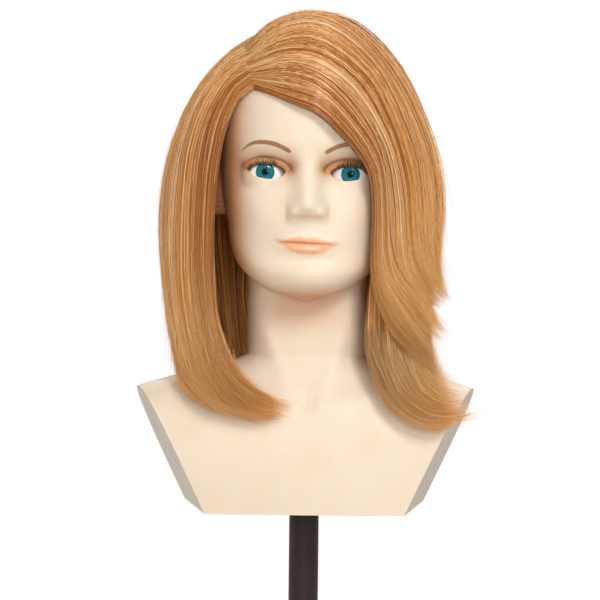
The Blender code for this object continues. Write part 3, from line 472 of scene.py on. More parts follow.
def grained(name, dark, light, scale, rough, relief, metallic=0.0, stretch=(1, 1, 1)):
    """A finish whose colour, roughness and relief vary with fine and coarse noise."""
    n = Nodes(name)
    at = n.place(stretch)
    coarse = n.noise(at, scale * 0.12, 3.0)
    fine = n.noise(at, scale, 6.0, 0.6)
    blend = n.add(n.times(coarse, 0.55), n.times(fine, 0.45))
    n.shade(
        Base_Color=n.ramp(blend, (0.36, dark), (0.64, light)),
        Roughness=n.spread(fine, *rough),
        Metallic=metallic,
        Normal=n.bump(fine, relief),
    )
    return n.material


# Painted edges, in the head frame: (distance from the middle of the face, height or half-height)
BROW_MIDDLE = (
    (13.0, 284.1), (15, 285.0), (20, 287.5), (25.5, 289.8), (31, 291.2), (37, 291.8), (41.5, 291.6),
    (45.5, 290.5), (49.5, 288.2), (54.5, 283.6),
)
BROW_HALF = (
    (13.0, -2.0), (14.2, 1.4), (17, 1.9), (25, 1.9), (33, 1.8), (41, 1.6), (46, 1.3), (50, 0.9),
    (54.5, -1.0),
)
LIP_TOP = (
    (0, 217.2), (2.5, 217.6), (5, 217.9), (9, 217.5), (15, 215.9), (20, 214.3), (24, 213.0),
)
LIP_BOTTOM = (
    (0, 204.3), (6, 204.5), (11, 205.8), (16, 208.3), (20, 210.9), (24, 213.0),
)
LIP_HALF = 23.6
# Height of the painted highlight on the lower lip
LIP_HIGHLIGHT_LEVEL = 209.6


def skin_finish():
    """Ivory vinyl with airbrushed lips, brows and eyeshadow, painted shade on the face and neck,
    and a painted highlight on the lower lip.
    """
    n = Nodes("ivory_vinyl")
    at = n.place()
    mottle = n.noise(at, 24.0, 3.0)
    grain = n.noise(at, 900.0, 5.0, 0.65)
    x, y, z = n.split(at)
    x = n.times(x, 1000.0)
    z = n.less(n.times(z, 1000.0), BUST_BOTTOM)
    side = n.math("ABSOLUTE", x)
    front = n.spread(y, 1.0, 0.0, -0.050, -0.040)

    level = n.add(z, n.times(x, BROW_SLOPE))
    stroke = n.noise(n.place((900, 300, 420)), 1.0, 3.0)
    inside = n.less(n.curve(side, BROW_HALF), n.apart(level, n.curve(side, BROW_MIDDLE)))
    inside = n.add(inside, n.spread(stroke, -0.25, 0.25))
    brow = n.times(n.spread(inside, 0.0, 0.92, -0.35, 0.55), front)

    level = n.add(z, n.times(x, MOUTH_SLOPE))
    above = n.less(n.curve(side, LIP_TOP), level)
    below = n.less(level, n.curve(side, LIP_BOTTOM))
    inside = n.math("MINIMUM", n.math("MINIMUM", above, below), n.less(LIP_HALF, side))
    lips = n.times(n.spread(inside, 0.0, 0.9, -0.7, 1.3), front)
    # Painted shade along the seam between the lips
    seam_shade = n.times(n.spread(n.apart(level, MOUTH_LINE), 0.5, 0.0, 0.1, 1.2), lips)
    # A painted highlight: a pale band along the lower lip
    painted_lip_highlight = n.spread(n.apart(level, LIP_HIGHLIGHT_LEVEL), 0.55, 0.0, 0.2, 2.0)
    painted_lip_highlight = n.times(painted_lip_highlight, n.spread(side, 1.0, 0.0, 3.0, 13.0))

    paint = n.make("ShaderNodeAttribute", attribute_name="paint").outputs["Color"]
    painted = n.make("ShaderNodeSeparateColor", {"Color": paint})
    painted_warm_shade, shadow, liner_and_crease_shade = (painted.outputs[i] for i in range(3))
    base = n.ramp(mottle, (0.35, (0.735, 0.635, 0.505)), (0.65, (0.765, 0.67, 0.545)))
    # Painted shade: the paint's first channel tints the vinyl orange-tan where shade falls
    base = n.mix(painted_warm_shade, base, (0.56, 0.245, 0.10))
    glitter = n.noise(at, 1500.0, 2.0, 0.7)
    lid = n.ramp(glitter, (0.38, (0.36, 0.13, 0.04)), (0.62, (0.68, 0.34, 0.13)))
    colour = n.mix(shadow, base, lid)
    # Eyeliner on the lid's rim, and painted shade in the lid's crease, from the third channel
    colour = n.mix(liner_and_crease_shade, colour, (0.060, 0.020, 0.008))
    tint = n.ramp(mottle, (0.35, (0.79, 0.355, 0.185)), (0.65, (0.83, 0.40, 0.225)))
    tint = n.mix(seam_shade, tint, (0.50, 0.22, 0.07))
    tint = n.mix(painted_lip_highlight, tint, (0.96, 0.72, 0.50))
    colour = n.mix(lips, colour, tint)
    hairs = n.ramp(stroke, (0.35, (0.24, 0.085, 0.025)), (0.65, (0.37, 0.16, 0.06)))
    colour = n.mix(brow, colour, hairs)
    rough = n.less(n.spread(grain, 0.44, 0.56), n.times(lips, 0.24))
    rough = n.less(rough, n.times(shadow, 0.12))
    n.shade(
        Base_Color=colour,
        Roughness=rough,
        Normal=n.bump(grain, 0.16, 0.00015),
        Subsurface_Weight=0.35,
        Subsurface_Radius=(0.007, 0.0045, 0.003),
        Subsurface_Scale=0.6,
        Specular_IOR_Level=0.35,
    )
    return n.material


def hair_finish(name, stops, root=0.82, tip=0.5, late=0.55):
    """Strands: a colour each, scaled by root at the root as painted shade, and mixed with gold by
    tip towards the tip from late on, partly the hair's lighter ends and partly painted light, with
    a stretched highlight."""
    n = Nodes(name)
    uv = n.bake_uv()
    strand, along, _ = n.split(uv)
    vary = n.noise(n.stretch(uv, (180.0, 3.0, 1.0)), 1.0, 4.0, 0.6)
    colour = n.ramp(n.add(strand, n.spread(vary, -0.10, 0.10)), *stops)
    # Painted shade towards the roots
    from_root = n.spread(along, root, 1.0, 0.0, 0.22)
    # Gold towards the tips: partly the hair's lighter ends, partly painted light where the tips
    # face away from the lamps
    to_tip = n.spread(along, 0.0, tip, late, late + 0.3)
    scale = {0: colour, "Scale": from_root}
    darker = n.make("ShaderNodeVectorMath", scale, operation="SCALE").outputs["Vector"]
    colour = n.mix(to_tip, darker, (1.0, 0.60, 0.22))
    tangent = n.make("ShaderNodeTangent", direction_type="UV_MAP", uv_map="OFBake").outputs[0]
    n.shade(
        Base_Color=colour,
        Metallic=0.08,
        Roughness=n.spread(vary, 0.26, 0.40),
        Normal=n.bump(vary, 0.2, 0.0001),
        Anisotropic=0.6,
        Tangent=tangent,
        Specular_IOR_Level=0.8,
        Specular_Tint=(1.0, 0.86, 0.66, 1.0),
        Sheen_Weight=0.15,
        Sheen_Roughness=0.4,
        Sheen_Tint=(1.0, 0.82, 0.6, 1.0),
    )
    return n.material


def eye_finish():
    """White of the eye, teal iris with fibres and a dark rim, and a black pupil."""
    n = Nodes("acrylic_eye")
    uv = n.bake_uv()
    # reach is the distance from the middle of the pupil over the eye's radius
    _, reach, _ = n.split(uv)
    fibre = n.noise(n.stretch(uv, (46.0, 2.2, 1.0)), 1.0, 5.0, 0.7)
    wobble = n.add(reach, n.spread(fibre, -0.010, 0.010))
    blues = ((0.003, 0.060, 0.085), (0.006, 0.155, 0.205), (0.02, 0.27, 0.33))
    iris = n.ramp(fibre, *zip((0.32, 0.52, 0.75), blues))
    rim = n.spread(wobble, 0.0, 0.7, 0.33, 0.42)
    iris = n.mix(rim, iris, (0.002, 0.05, 0.085))
    pupil = n.spread(n.add(reach, n.spread(fibre, -0.03, 0.03)), 1.0, 0.0, 0.12, 0.20)
    iris = n.mix(pupil, iris, (0.002, 0.002, 0.003))
    veins = n.noise(n.place(), 160.0, 4.0, 0.6)
    white = n.ramp(veins, (0.4, (0.80, 0.80, 0.79)), (0.7, (0.86, 0.86, 0.855)))
    colour = n.mix(n.spread(wobble, 0.0, 1.0, 0.410, 0.430), iris, white)
    n.shade(
        Base_Color=colour,
        Roughness=n.spread(veins, 0.10, 0.16),
        Normal=n.bump(fibre, 0.12, 0.0001),
        Specular_IOR_Level=0.1,
        Coat_Weight=0.5,
        Coat_Roughness=0.03,
    )
    return n.material


# ---- Skin ----------------------------------------------------------------------------------------


def shadow_paint(x, y, z):
    """Bronze powder on the upper lid, fading out above its crease."""
    side = np.abs(x)
    out = lid_height(x, z)
    up = smooth_step(-2.5, 3.5, z - lid_line(x))
    lid = 0.88 * smooth_step(7.0, 4.8, out) * up
    halo = 0.60 * hill(np.maximum(out, 4.5), 4.5, 5.0) * up
    inner = 0.34 * bump(side, z, (14.5, 271.0), (4.5, 7.0))
    outer = 0.32 * bump(side, z, (49, 272), (6, 6))
    return np.clip(np.maximum(lid, halo) + inner + outer, 0, 0.92) * (y < -40)


def liner_and_crease_shade_paint(x, y, z):
    """Eyeliner along the rim of the upper lid, and a soft brown line of painted shade in its
    crease.
    """
    out = lid_height(x, z)
    up = smooth_step(-1.2, 1.2, z - lid_line(x))
    line = 0.9 * smooth_step(2.4, 1.0, out)
    crease = 0.50 * hill(out, 6.0, 1.3) * smooth_step(0.5, 4.0, z - lid_line(x))
    return np.maximum(line, crease) * up * (y < -40)


def warm_shade_paint(x, y, z):
    """Painted shade, orange-tan: sockets, temples, jaw, nose, mouth corners, neck sides, under the
    chin, and the cheeks, which are partly blush.
    """
    side = np.abs(x)
    cheeks = 0.10 * bump(side, z, (47, 232), (16, 16)) * (y < -20)
    sockets = 0.24 * bump(side, z, (31, 277), (24, 11)) * (y < -40)
    inner = 0.30 * bump(side, z, (14, 272), (6, 9)) * (y < -40)
    under = 0.80 * smooth_step(184, 170, z) * smooth_step(130, 166, z) * smooth_step(-30, -45, y)
    neck = 0.32 * smooth_step(24, 50, side) * smooth_step(98, 130, z) * smooth_step(190, 165, z)
    temples = 1.15 * smooth_step(34, 70, side) ** 1.3 * smooth_step(168, 184, z)
    nose = 0.30 * hill(z, 233.6, 1.8) * smooth_step(15, 9, side) * (y < -60)
    wings = 0.22 * bump(side, z, (16.2, 236), (2.2, 6.0)) * (y < -60)
    mouth = 0.25 * bump(side, z + MOUTH_SLOPE * x, (25, 212.5), (3.5, 3.0)) * (y < -50)
    jaw = 0.60 * smooth_step(26, 58, side) * smooth_step(218, 190, z) * smooth_step(166, 178, z)
    parts = (cheeks, sockets, inner, under, neck, temples, nose, wings, mouth, jaw * (y < -10))
    return np.clip(sum(parts), 0, 0.92)


def paint_skin(obj):
    """Stores the three paints in a colour attribute that the skin's material reads: painted shade,
    eyeshadow, and eyeliner with painted shade in the lids' creases.
    """
    co = np.empty(len(obj.data.vertices) * 3, np.float32)
    obj.data.vertices.foreach_get("co", co)
    x, y, z = (co.reshape(-1, 3) / MM - np.array([0, 0, BUST_BOTTOM])).T
    none = np.zeros_like(x)
    paint = np.stack([warm_shade_paint(x, y, z), shadow_paint(x, y, z), liner_and_crease_shade_paint(x, y, z), none], -1)
    layer = obj.data.attributes.new("paint", "FLOAT_COLOR", "POINT")
    layer.data.foreach_set("color", paint.astype(np.float32).ravel())


def eye_outline(side, turn):
    """Points around the opening between the lids of one side's eye, in the front view."""
    x = side * (OPEN_MIDDLE + OPEN_HALF * np.cos(turn))
    rise = np.where(np.sin(turn) > 0, OPEN_UP, OPEN_DOWN)
    return x, lid_line(x) + rise * np.sin(turn)


def front_of_skin(x, z):
    """Where a line along -Y leaves the skin."""
    near, far = np.full(x.shape, -30.0), np.full(x.shape, -125.0)
    return last_inside(lambda y: skin_field(x, y, z) < 0, near, far, 26)


def lid_patch(side):
    """Points (rings x turns) around one eye, from a rim on the eyeball out into the skin."""
    turns = np.linspace(0, 2 * math.pi, 241)[:-1]
    rings = [-0.9, -0.75, -0.45, -0.15, 0.15, 0.5, *np.linspace(0.9, PATCH_REACH, 38)]
    turn, out = np.meshgrid(turns, rings)
    base_x, base_z = eye_outline(side, turn)
    grow = np.maximum(out, 0.0)
    at_x = base_x + side * np.cos(turn) * grow
    at_z = base_z + np.sin(turn) * grow
    upper = smooth_step(-0.2, 0.6, np.sin(turn))
    y = front_of_skin(at_x, at_z)
    y = y + (1.2 * hill(grow, 6.0, 1.0) - 0.4 * hill(grow, 2.8, 1.6)) * upper
    level = at_z + EYE_SLOPE * at_x - EYE_Z
    reach = (np.abs(at_x) - EYE_X) ** 2 + level**2
    on_ball = EYE_Y - np.sqrt(np.maximum((EYE_RADIUS + 0.05) ** 2 - reach, 0))
    # The rim turns in over its last half millimetre and ends just inside the eyeball
    t = np.clip((out + 0.9) / 1.8, 0, 1)
    rim = on_ball + 0.5 + (y - on_ball - 0.5) * np.sqrt(np.clip(1 - (1 - t) ** 2, 0, 1))
    y = np.where(out < 0.9, np.minimum(rim, on_ball + 0.5), y)
    return np.stack([at_x, y, at_z], -1)


def side_plane(side):
    """A point on a flat side of the bust, and the way out of it."""
    slant = math.atan2(SIDE_TOP - SIDE_BOTTOM, SIDE_HEIGHT)
    out, forward = math.cos(slant) * math.cos(SIDE_TURN), math.cos(slant) * math.sin(SIDE_TURN)
    return Vector((side * SIDE_BOTTOM, 20, 0)), Vector((side * out, -forward, -math.sin(slant)))


def ring_quads(rows, columns):
    """Faces of a grid of points whose columns close round, and the grid of their numbers."""
    index = np.arange(rows * columns).reshape(rows, columns)
    right = np.roll(index, -1, axis=1)
    return np.stack([index[:-1], right[:-1], right[1:], index[1:]], -1).reshape(-1, 4), index


def make_skin(finish, cut_finish):
    """The skin in one mesh, with an eye patch bridged in on each side and the bust cut flat."""
    rows, columns = ((372, 262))
    grid = surface_grid(rows, columns)
    points = np.concatenate([grid[:-1].reshape(-1, 3), grid[-1].mean(axis=0)[None]])
    quads, index = ring_quads(rows - 1, columns)
    middle = points[quads].mean(axis=1)
    near_eye = (lid_height(middle[:, 0], middle[:, 2]) < PATCH_HOLE) & (middle[:, 1] < -35)
    obj = add_mesh("skin", points, quads[~near_eye], finish)
    bm = bmesh.new()
    bm.from_mesh(obj.data)
    bm.verts.ensure_lookup_table()
    crown = bm.verts[len(points) - 1]
    top = [bm.verts[i] for i in index[-1]]
    for a, b in zip(top, top[1:] + top[:1]):
        bm.faces.new((a, b, crown)).smooth = True
    for side in (-1, 1):
        hole = []
        for edge in bm.edges:
            at = edge.verts[0].co
            if len(edge.link_faces) == 1 and at.z > EYE_HOLES_ABOVE and side * at.x > 0:
                hole.append(edge)
        patch = lid_patch(side)
        faces, numbers = ring_quads(*patch.shape[:2])
        patch = (patch.reshape(-1, 3) + np.array([0, 0, BUST_BOTTOM])) * MM
        spots = [bm.verts.new(spot) for spot in patch]
        for face in faces[:, ::side]:
            bm.faces.new([spots[i] for i in face]).smooth = True
        ring = [spots[i] for i in numbers[-1]]
        outer = [bm.edges.get(pair) for pair in zip(ring, ring[1:] + ring[:1])]
        for face in bmesh.ops.bridge_loops(bm, edges=hole + outer)["faces"]:
            face.smooth = True
    bottom = Vector((0, 0, BUST_BOTTOM))
    for centre, normal in ((Vector((0, 0, 0)), Vector((0, 0, -1))), side_plane(-1), side_plane(1)):
        done = bmesh.ops.bisect_plane(
            bm,
            geom=bm.verts[:] + bm.edges[:] + bm.faces[:],
            dist=1e-7,
            plane_co=(centre + bottom) * MM,
            plane_no=normal,
            clear_outer=True,
        )
        rim = [part for part in done["geom_cut"] if isinstance(part, bmesh.types.BMEdge)]
        for face in bmesh.ops.holes_fill(bm, edges=rim, sides=0)["faces"]:
            face.material_index = 1
            face.smooth = False
    bmesh.ops.recalc_face_normals(bm, faces=bm.faces)
    bm.to_mesh(obj.data)
    bm.free()
    obj.data.materials.append(cut_finish)
    obj.data.set_sharp_from_angle(angle=math.radians(42))
    paint_skin(obj)
    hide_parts("head_shell")


def make_eye(name, side, finish):
    """An eyeball whose clear front bulges a little over the iris."""
    turns = np.linspace(0, 2 * math.pi, 97)
    angles = np.radians(np.concatenate([np.linspace(0.5, 30, 40), np.linspace(32, 98, 34)]))
    turn, angle = np.meshgrid(turns, angles)
    reach = np.sin(angle)
    radius = EYE_RADIUS + 0.55 * smooth_step(0.52, 0.30, reach) - 0.05
    look = np.stack([reach * np.cos(turn), -np.cos(angle), reach * np.sin(turn)], -1)
    centre = np.array([side * EYE_X, EYE_Y, EYE_Z - EYE_SLOPE * side * EYE_X])
    points = (look * radius[..., None] + centre).reshape(-1, 3)
    uv = np.stack([turn / (2 * math.pi), reach], -1).reshape(-1, 2)
    rows, columns = turn.shape
    index = np.arange(rows * columns).reshape(rows, columns)
    quads = np.stack([index[:-1, :-1], index[:-1, 1:], index[1:, 1:], index[1:, :-1]], -1)
    obj = add_mesh("eyeball_" + name, points, quads.reshape(-1, 4), finish, uv)
    bm = bmesh.new()
    bm.from_mesh(obj.data)
    bm.verts.ensure_lookup_table()
    bm.faces.new([bm.verts[i] for i in index[0, :-1][::-1]]).smooth = True
    bmesh.ops.remove_doubles(bm, verts=bm.verts, dist=1e-7)
    bmesh.ops.recalc_face_normals(bm, faces=bm.faces)
    bm.to_mesh(obj.data)
    bm.free()
    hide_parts("eye_" + name)


# ---- Strands -------------------------------------------------------------------------------------


def strand_mesh(name, paths, radius, outward, shade, finish, sides=3, taper=2.5):
    """Thin tubes or ribbons along paths (strands x points x 3), thinner towards their tips. The
    texture runs across the strands in a narrow band for each, and along them from 0 to 1."""
    count, along = paths.shape[:2]
    t = np.linspace(0, 1, along)
    way = unit(np.gradient(paths, axis=1))
    across = unit(np.cross(way, outward))
    up = np.cross(across, way)
    thick = np.asarray(radius)[:, None] * (1 - 0.85 * t[None, :] ** taper)
    if sides == 2:
        roll = np.random.default_rng(count).uniform(-0.6, 0.6, count)[:, None, None]
        across = np.cos(roll) * across + np.sin(roll) * up
        ring = [across, -across]
    else:
        spin = [math.radians(90 + 360 * i / sides) for i in range(sides)]
        ring = [math.cos(a) * across + math.sin(a) * up for a in spin]
    points = np.stack([paths + thick[..., None] * way_out for way_out in ring], axis=2)
    index = np.arange(count * along * sides).reshape(count, along, sides)
    if sides == 2:
        quads = np.stack([index[:, :-1, 0], index[:, :-1, 1], index[:, 1:, 1], index[:, 1:, 0]], -1)
    else:
        turned = np.roll(index, -1, axis=2)
        quads = np.stack([index[:, :-1], turned[:, :-1], turned[:, 1:], index[:, 1:]], -1)
    uv = np.empty((count, along, sides, 2), np.float32)
    uv[..., 0] = np.asarray(shade)[:, None, None] + 0.003 * np.arange(sides)
    uv[..., 1] = t[None, :, None]
    return add_mesh(name, points.reshape(-1, 3), quads.reshape(-1, 4), finish, uv.reshape(-1, 2))


def make_lashes(name, side, finish):
    """Upper lashes in small clumps along the lid's rim."""
    clumps = 26
    each = 9
    count = clumps * each
    group = np.repeat(np.arange(clumps), each)
    middle = np.linspace(2, 176, clumps)[group]
    turns = np.radians(middle + np.tile(np.linspace(-2.4, 2.4, each), clumps))
    root_x, root_z = eye_outline(side, turns)
    level = root_z + EYE_SLOPE * root_x - EYE_Z
    ball = np.sqrt((EYE_RADIUS + LID * 0.8) ** 2 - (np.abs(root_x) - EYE_X) ** 2 - level**2)
    roots = np.stack([root_x, EYE_Y - ball, root_z + 0.1], -1)
    point = np.radians(middle) + rng.normal(0, 0.10, clumps)[group] + rng.normal(0, 0.02, count)
    length = 5.4 + 0.9 * np.cos(point) + rng.uniform(-1.0, 0.8, clumps)[group]
    length = (length + rng.uniform(-1.6, 0.3, count))[:, None]
    t = np.linspace(0, 1, 10)[None, :]
    forward = length * (0.85 * t - 0.35 * t**2)
    rise = length * np.maximum(np.sin(point), 0.25)[:, None] * (0.30 * t + 0.50 * t**2)
    sweep = side * length * np.cos(point)[:, None] * (0.35 * t + 0.40 * t**2)
    paths = roots[:, None, :] + np.stack([sweep, -forward, rise], -1)
    tips = paths.reshape(clumps, each, 10, 3).mean(axis=1)[group]
    paths = paths + (tips - paths) * (0.60 * t**1.5)[..., None]
    outward = np.broadcast_to(np.array([0.0, 0.3, 1.0]), paths.shape)
    shade = rng.uniform(0, 1, count)
    radius = rng.uniform(0.28, 0.42, count)
    obj = strand_mesh("lashes_" + name, paths, radius, outward, shade, finish, 4, 1.6)
    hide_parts("lashes_" + name)


# ---- Hair ----------------------------------------------------------------------------------------

# Each guide runs from the root to the tip. A layer's guides go from its front edge to the back: on
# the viewer's right and on the left, from the parting down, right round to the middle of the back
RIGHT_GUIDES = (
    ((-41, -66, 336), (-14, -85, 324), (8, -90, 315), (31, -85, 293), (49, -70, 268),
     (52, -61, 235), (51, -57, 200), (48, -54, 165), (49, -60, 124), (66, -74, 87),
     (99, -74, 69), (143, -58, 77)),
    ((-44, -56, 352), (-14, -68, 364), (14, -74, 355), (42, -70, 328), (64, -60, 290),
     (75, -54, 248), (78, -52, 210), (78, -52, 172), (80, -56, 135), (90, -62, 105),
     (110, -60, 90), (140, -46, 92)),
    ((-46, -20, 377), (-16, -24, 399), (14, -20, 404), (46, -14, 391), (76, -8, 358),
     (97, -4, 317), (106, 0, 279), (107, 2, 238), (104, 0, 205), (99, -8, 172),
     (97, -24, 140), (106, -38, 110)),
    ((-40, 25, 386), (-8, 34, 399), (24, 42, 393), (52, 50, 372), (74, 58, 340),
     (88, 63, 298), (92, 66, 255), (90, 66, 215), (88, 64, 178), (88, 64, 150),
     (92, 66, 128), (96, 62, 108)),
    ((-28, 60, 379), (-22, 77, 371), (-14, 91, 352), (-9, 102, 327), (-7, 107, 297),
     (-7, 108, 265), (-7, 105, 232), (-7, 101, 198), (-7, 98, 168), (-7, 97, 142),
     (-7, 97, 118), (-7, 96, 98)),
)
LEFT_GUIDES = (
    ((-43, -66, 337), (-56, -58, 327), (-65, -50, 306), (-70, -46, 280), (-73, -44, 252),
     (-74, -44, 222), (-73, -46, 192), (-70, -50, 162), (-62, -58, 134), (-48, -68, 110),
     (-27, -76, 95), (-3, -76, 89)),
    ((-45, -44, 363), (-65, -41, 353), (-84, -36, 325), (-95, -32, 290), (-99, -31, 255),
     (-100, -32, 220), (-99, -35, 188), (-95, -40, 156), (-88, -48, 126), (-76, -60, 99),
     (-55, -71, 82), (-19, -77, 78)),
    ((-48, -6, 382), (-66, -3, 370), (-86, 0, 347), (-104, 2, 312), (-115, 5, 276),
     (-119, 6, 240), (-118, 6, 206), (-115, 3, 176), (-111, -6, 150), (-105, -22, 126),
     (-97, -48, 102), (-72, -68, 80)),
    ((-42, 32, 384), (-62, 42, 368), (-80, 52, 338), (-90, 60, 304), (-94, 65, 270),
     (-95, 67, 238), (-94, 67, 206), (-92, 66, 176), (-90, 65, 150), (-88, 64, 128),
     (-85, 62, 112), (-80, 62, 98)),
    ((-24, 63, 378), (-14, 80, 369), (-4, 94, 350), (3, 103, 325), (6, 108, 296),
     (6, 109, 264), (6, 106, 231), (6, 102, 198), (6, 99, 168), (6, 98, 142),
     (6, 98, 118), (6, 97, 98)),
)
# The fringe: from its front edge to the lock that lies under the side layer
FRINGE_GUIDES = (
    ((-41, -66, 336), (-14, -86, 323), (8, -91, 314), (31, -87, 292), (48, -74, 268),
     (51, -66, 235), (50, -63, 205), (52, -62, 180), (61, -62, 154), (74, -60, 137),
     (92, -55, 121), (119, -46, 107)),
    ((-44, -60, 346), (-14, -80, 346), (12, -85, 336), (37, -80, 311), (56, -70, 280),
     (61, -64, 245), (62, -61, 215), (66, -61, 189), (78, -60, 172), (90, -55, 156),
     (102, -49, 141), (114, -43, 133)),
    ((-49, -50, 358), (-14, -62, 370), (16, -66, 362), (46, -62, 335), (68, -54, 295),
     (78, -48, 252), (80, -46, 220), (84, -46, 196), (92, -45, 178), (100, -42, 163),
     (109, -38, 151), (119, -34, 145)),
)
# The side layer over it, out to the middle of the side
SIDE_GUIDES = (
    ((-44, -58, 349), (-14, -76, 353), (13, -82, 343), (40, -78, 318), (58, -69, 285),
     (64, -62, 250), (66, -59, 222), (70, -58, 201), (79, -55, 185), (88, -49, 175),
     (98, -43, 168), (111, -35, 166)),
    ((-49, -38, 366), (-26, -46, 385), (6, -49, 390), (41, -46, 369), (69, -38, 329),
     (86, -32, 285), (90, -30, 252), (91, -29, 224), (94, -28, 203), (100, -25, 186),
     (108, -20, 173), (118, -14, 167)),
    ((-50, -18, 377), (-30, -22, 393), (1, -22, 401), (35, -16, 391), (68, -9, 363),
     (93, -4, 318), (105, 0, 281), (108, 2, 248), (106, 0, 220), (105, -2, 199),
     (109, -2, 180), (117, -2, 168)),
    ((-42, 25, 385), (-14, 34, 400), (20, 42, 395), (50, 50, 374), (74, 58, 340),
     (88, 63, 298), (92, 66, 262), (92, 66, 232), (92, 64, 208), (94, 62, 188),
     (100, 60, 172), (108, 56, 164)),
)


CLUMPS = 330  # over a whole sheet
GATHER = 0.45  # how far a strand's tip moves towards its clump's


def spline(points, at):
    """Catmull-Rom through evenly numbered points. at runs from 0 to 1."""
    points = np.asarray(points, float)
    place = np.clip(np.asarray(at, float), 0, 1) * (len(points) - 1)
    left = np.clip(np.floor(place).astype(int), 0, len(points) - 2)
    t = (place - left).reshape((-1,) + (1,) * (points.ndim - 1))
    ends = np.concatenate([[2 * points[0] - points[1]], points, [2 * points[-1] - points[-2]]])
    a, b, c, d = (ends[left + i] for i in range(4))
    square, cube = 2 * a - 5 * b + 4 * c - d, 3 * b - a - 3 * c + d
    return 0.5 * (2 * b + (c - a) * t + square * t**2 + cube * t**3)


def lift_off(points, clear):
    """Moves points straight out of the skin until they are at least this far off it."""
    for _ in range(8):
        value = skin_at(points)
        slope = np.stack([skin_at(points + step) - value for step in 0.5 * np.eye(3)], axis=-1)
        points = points + unit(slope) * np.maximum(clear - value, 0.0)[..., None]
    return points


def between(grid, i, j, fi, fj):
    """A grid's values between its places (i, j) and the next ones, at these fractions."""
    first = grid[i, j] * (1 - fi) + grid[i + 1, j] * fi
    second = grid[i, j + 1] * (1 - fi) + grid[i + 1, j + 1] * fi
    return first * (1 - fj) + second * fj


def drift(seed, cells):
    """A smooth random height over (u, t), mostly between -1 and 1."""
    grid = np.random.default_rng(seed).normal(0, 0.6, (cells[0] + 2, cells[1] + 2))

    def at(u, t):
        i, j = np.clip(u, 0, 1) * cells[0], np.clip(t, 0, 1) * cells[1]
        i0, j0 = i.astype(int), j.astype(int)
        return between(grid, i0, j0, smooth_step(0, 1, i - i0), smooth_step(0, 1, j - j0))

    return at


class Sheet:
    """A layer of hair over guides, with how deep the hair can be under each place of it. Its lower
    part stands out by rise, to lie over another layer."""

    def __init__(self, guides, thickest, rise=0.0):
        self.across, self.along = 65, 81
        u = np.linspace(0, 1, self.across)
        outer = spline(guides, u)
        outer = np.swapaxes(spline(np.swapaxes(outer, 0, 1), np.linspace(0, 1, self.along)), 0, 1)
        outer = lift_off(outer, 4.5)
        # Hair lies behind its outer layer: towards the axis, but straight back at the front edge
        axis = np.zeros_like(outer)
        axis[..., 0] = outer[..., 0] * (1 - smooth_step(0.0, 0.35, u))[:, None]
        axis[..., 1] = 8.0
        axis[..., 2] = np.clip(outer[..., 2] - 12.0, 0.0, 270.0)
        self.inward = unit(axis - outer)
        depth = np.zeros(outer.shape[:2])
        clear = np.ones(depth.shape, bool)
        for step in np.arange(0.5, thickest, 0.5):
            clear &= skin_at(outer + self.inward * (step + 0.6)) > 0.6
            depth = np.where(clear, step, depth)
        late = smooth_step(0.3, 0.6, np.linspace(0, 1, self.along))[None, :]
        self.outer = outer - self.inward * (rise * late)[..., None]
        self.depth = depth + rise * late

    def sample(self, grid, u, t):
        """Reads a grid of the sheet at places across it (u) and along it (t)."""
        i = np.clip(u, 0, 1) * (self.across - 1)
        j = np.clip(t, 0, 1) * (self.along - 1)
        i0 = np.clip(i.astype(int), 0, self.across - 2)
        j0 = np.clip(j.astype(int), 0, self.along - 2)
        fi, fj = i - i0, j - j0
        if grid.ndim == 3:
            fi, fj = fi[..., None], fj[..., None]
        return between(grid, i0, j0, fi, fj)

    def paths(self, u, t, depth):
        """Points at (u, t), this many millimetres under the outer layer, and the way out."""
        outer = self.sample(self.outer, u, t)
        inward = self.sample(self.inward, u, t)
        most = self.sample(self.depth, u, t)
        return outer + inward * np.minimum(depth, most)[..., None], -inward


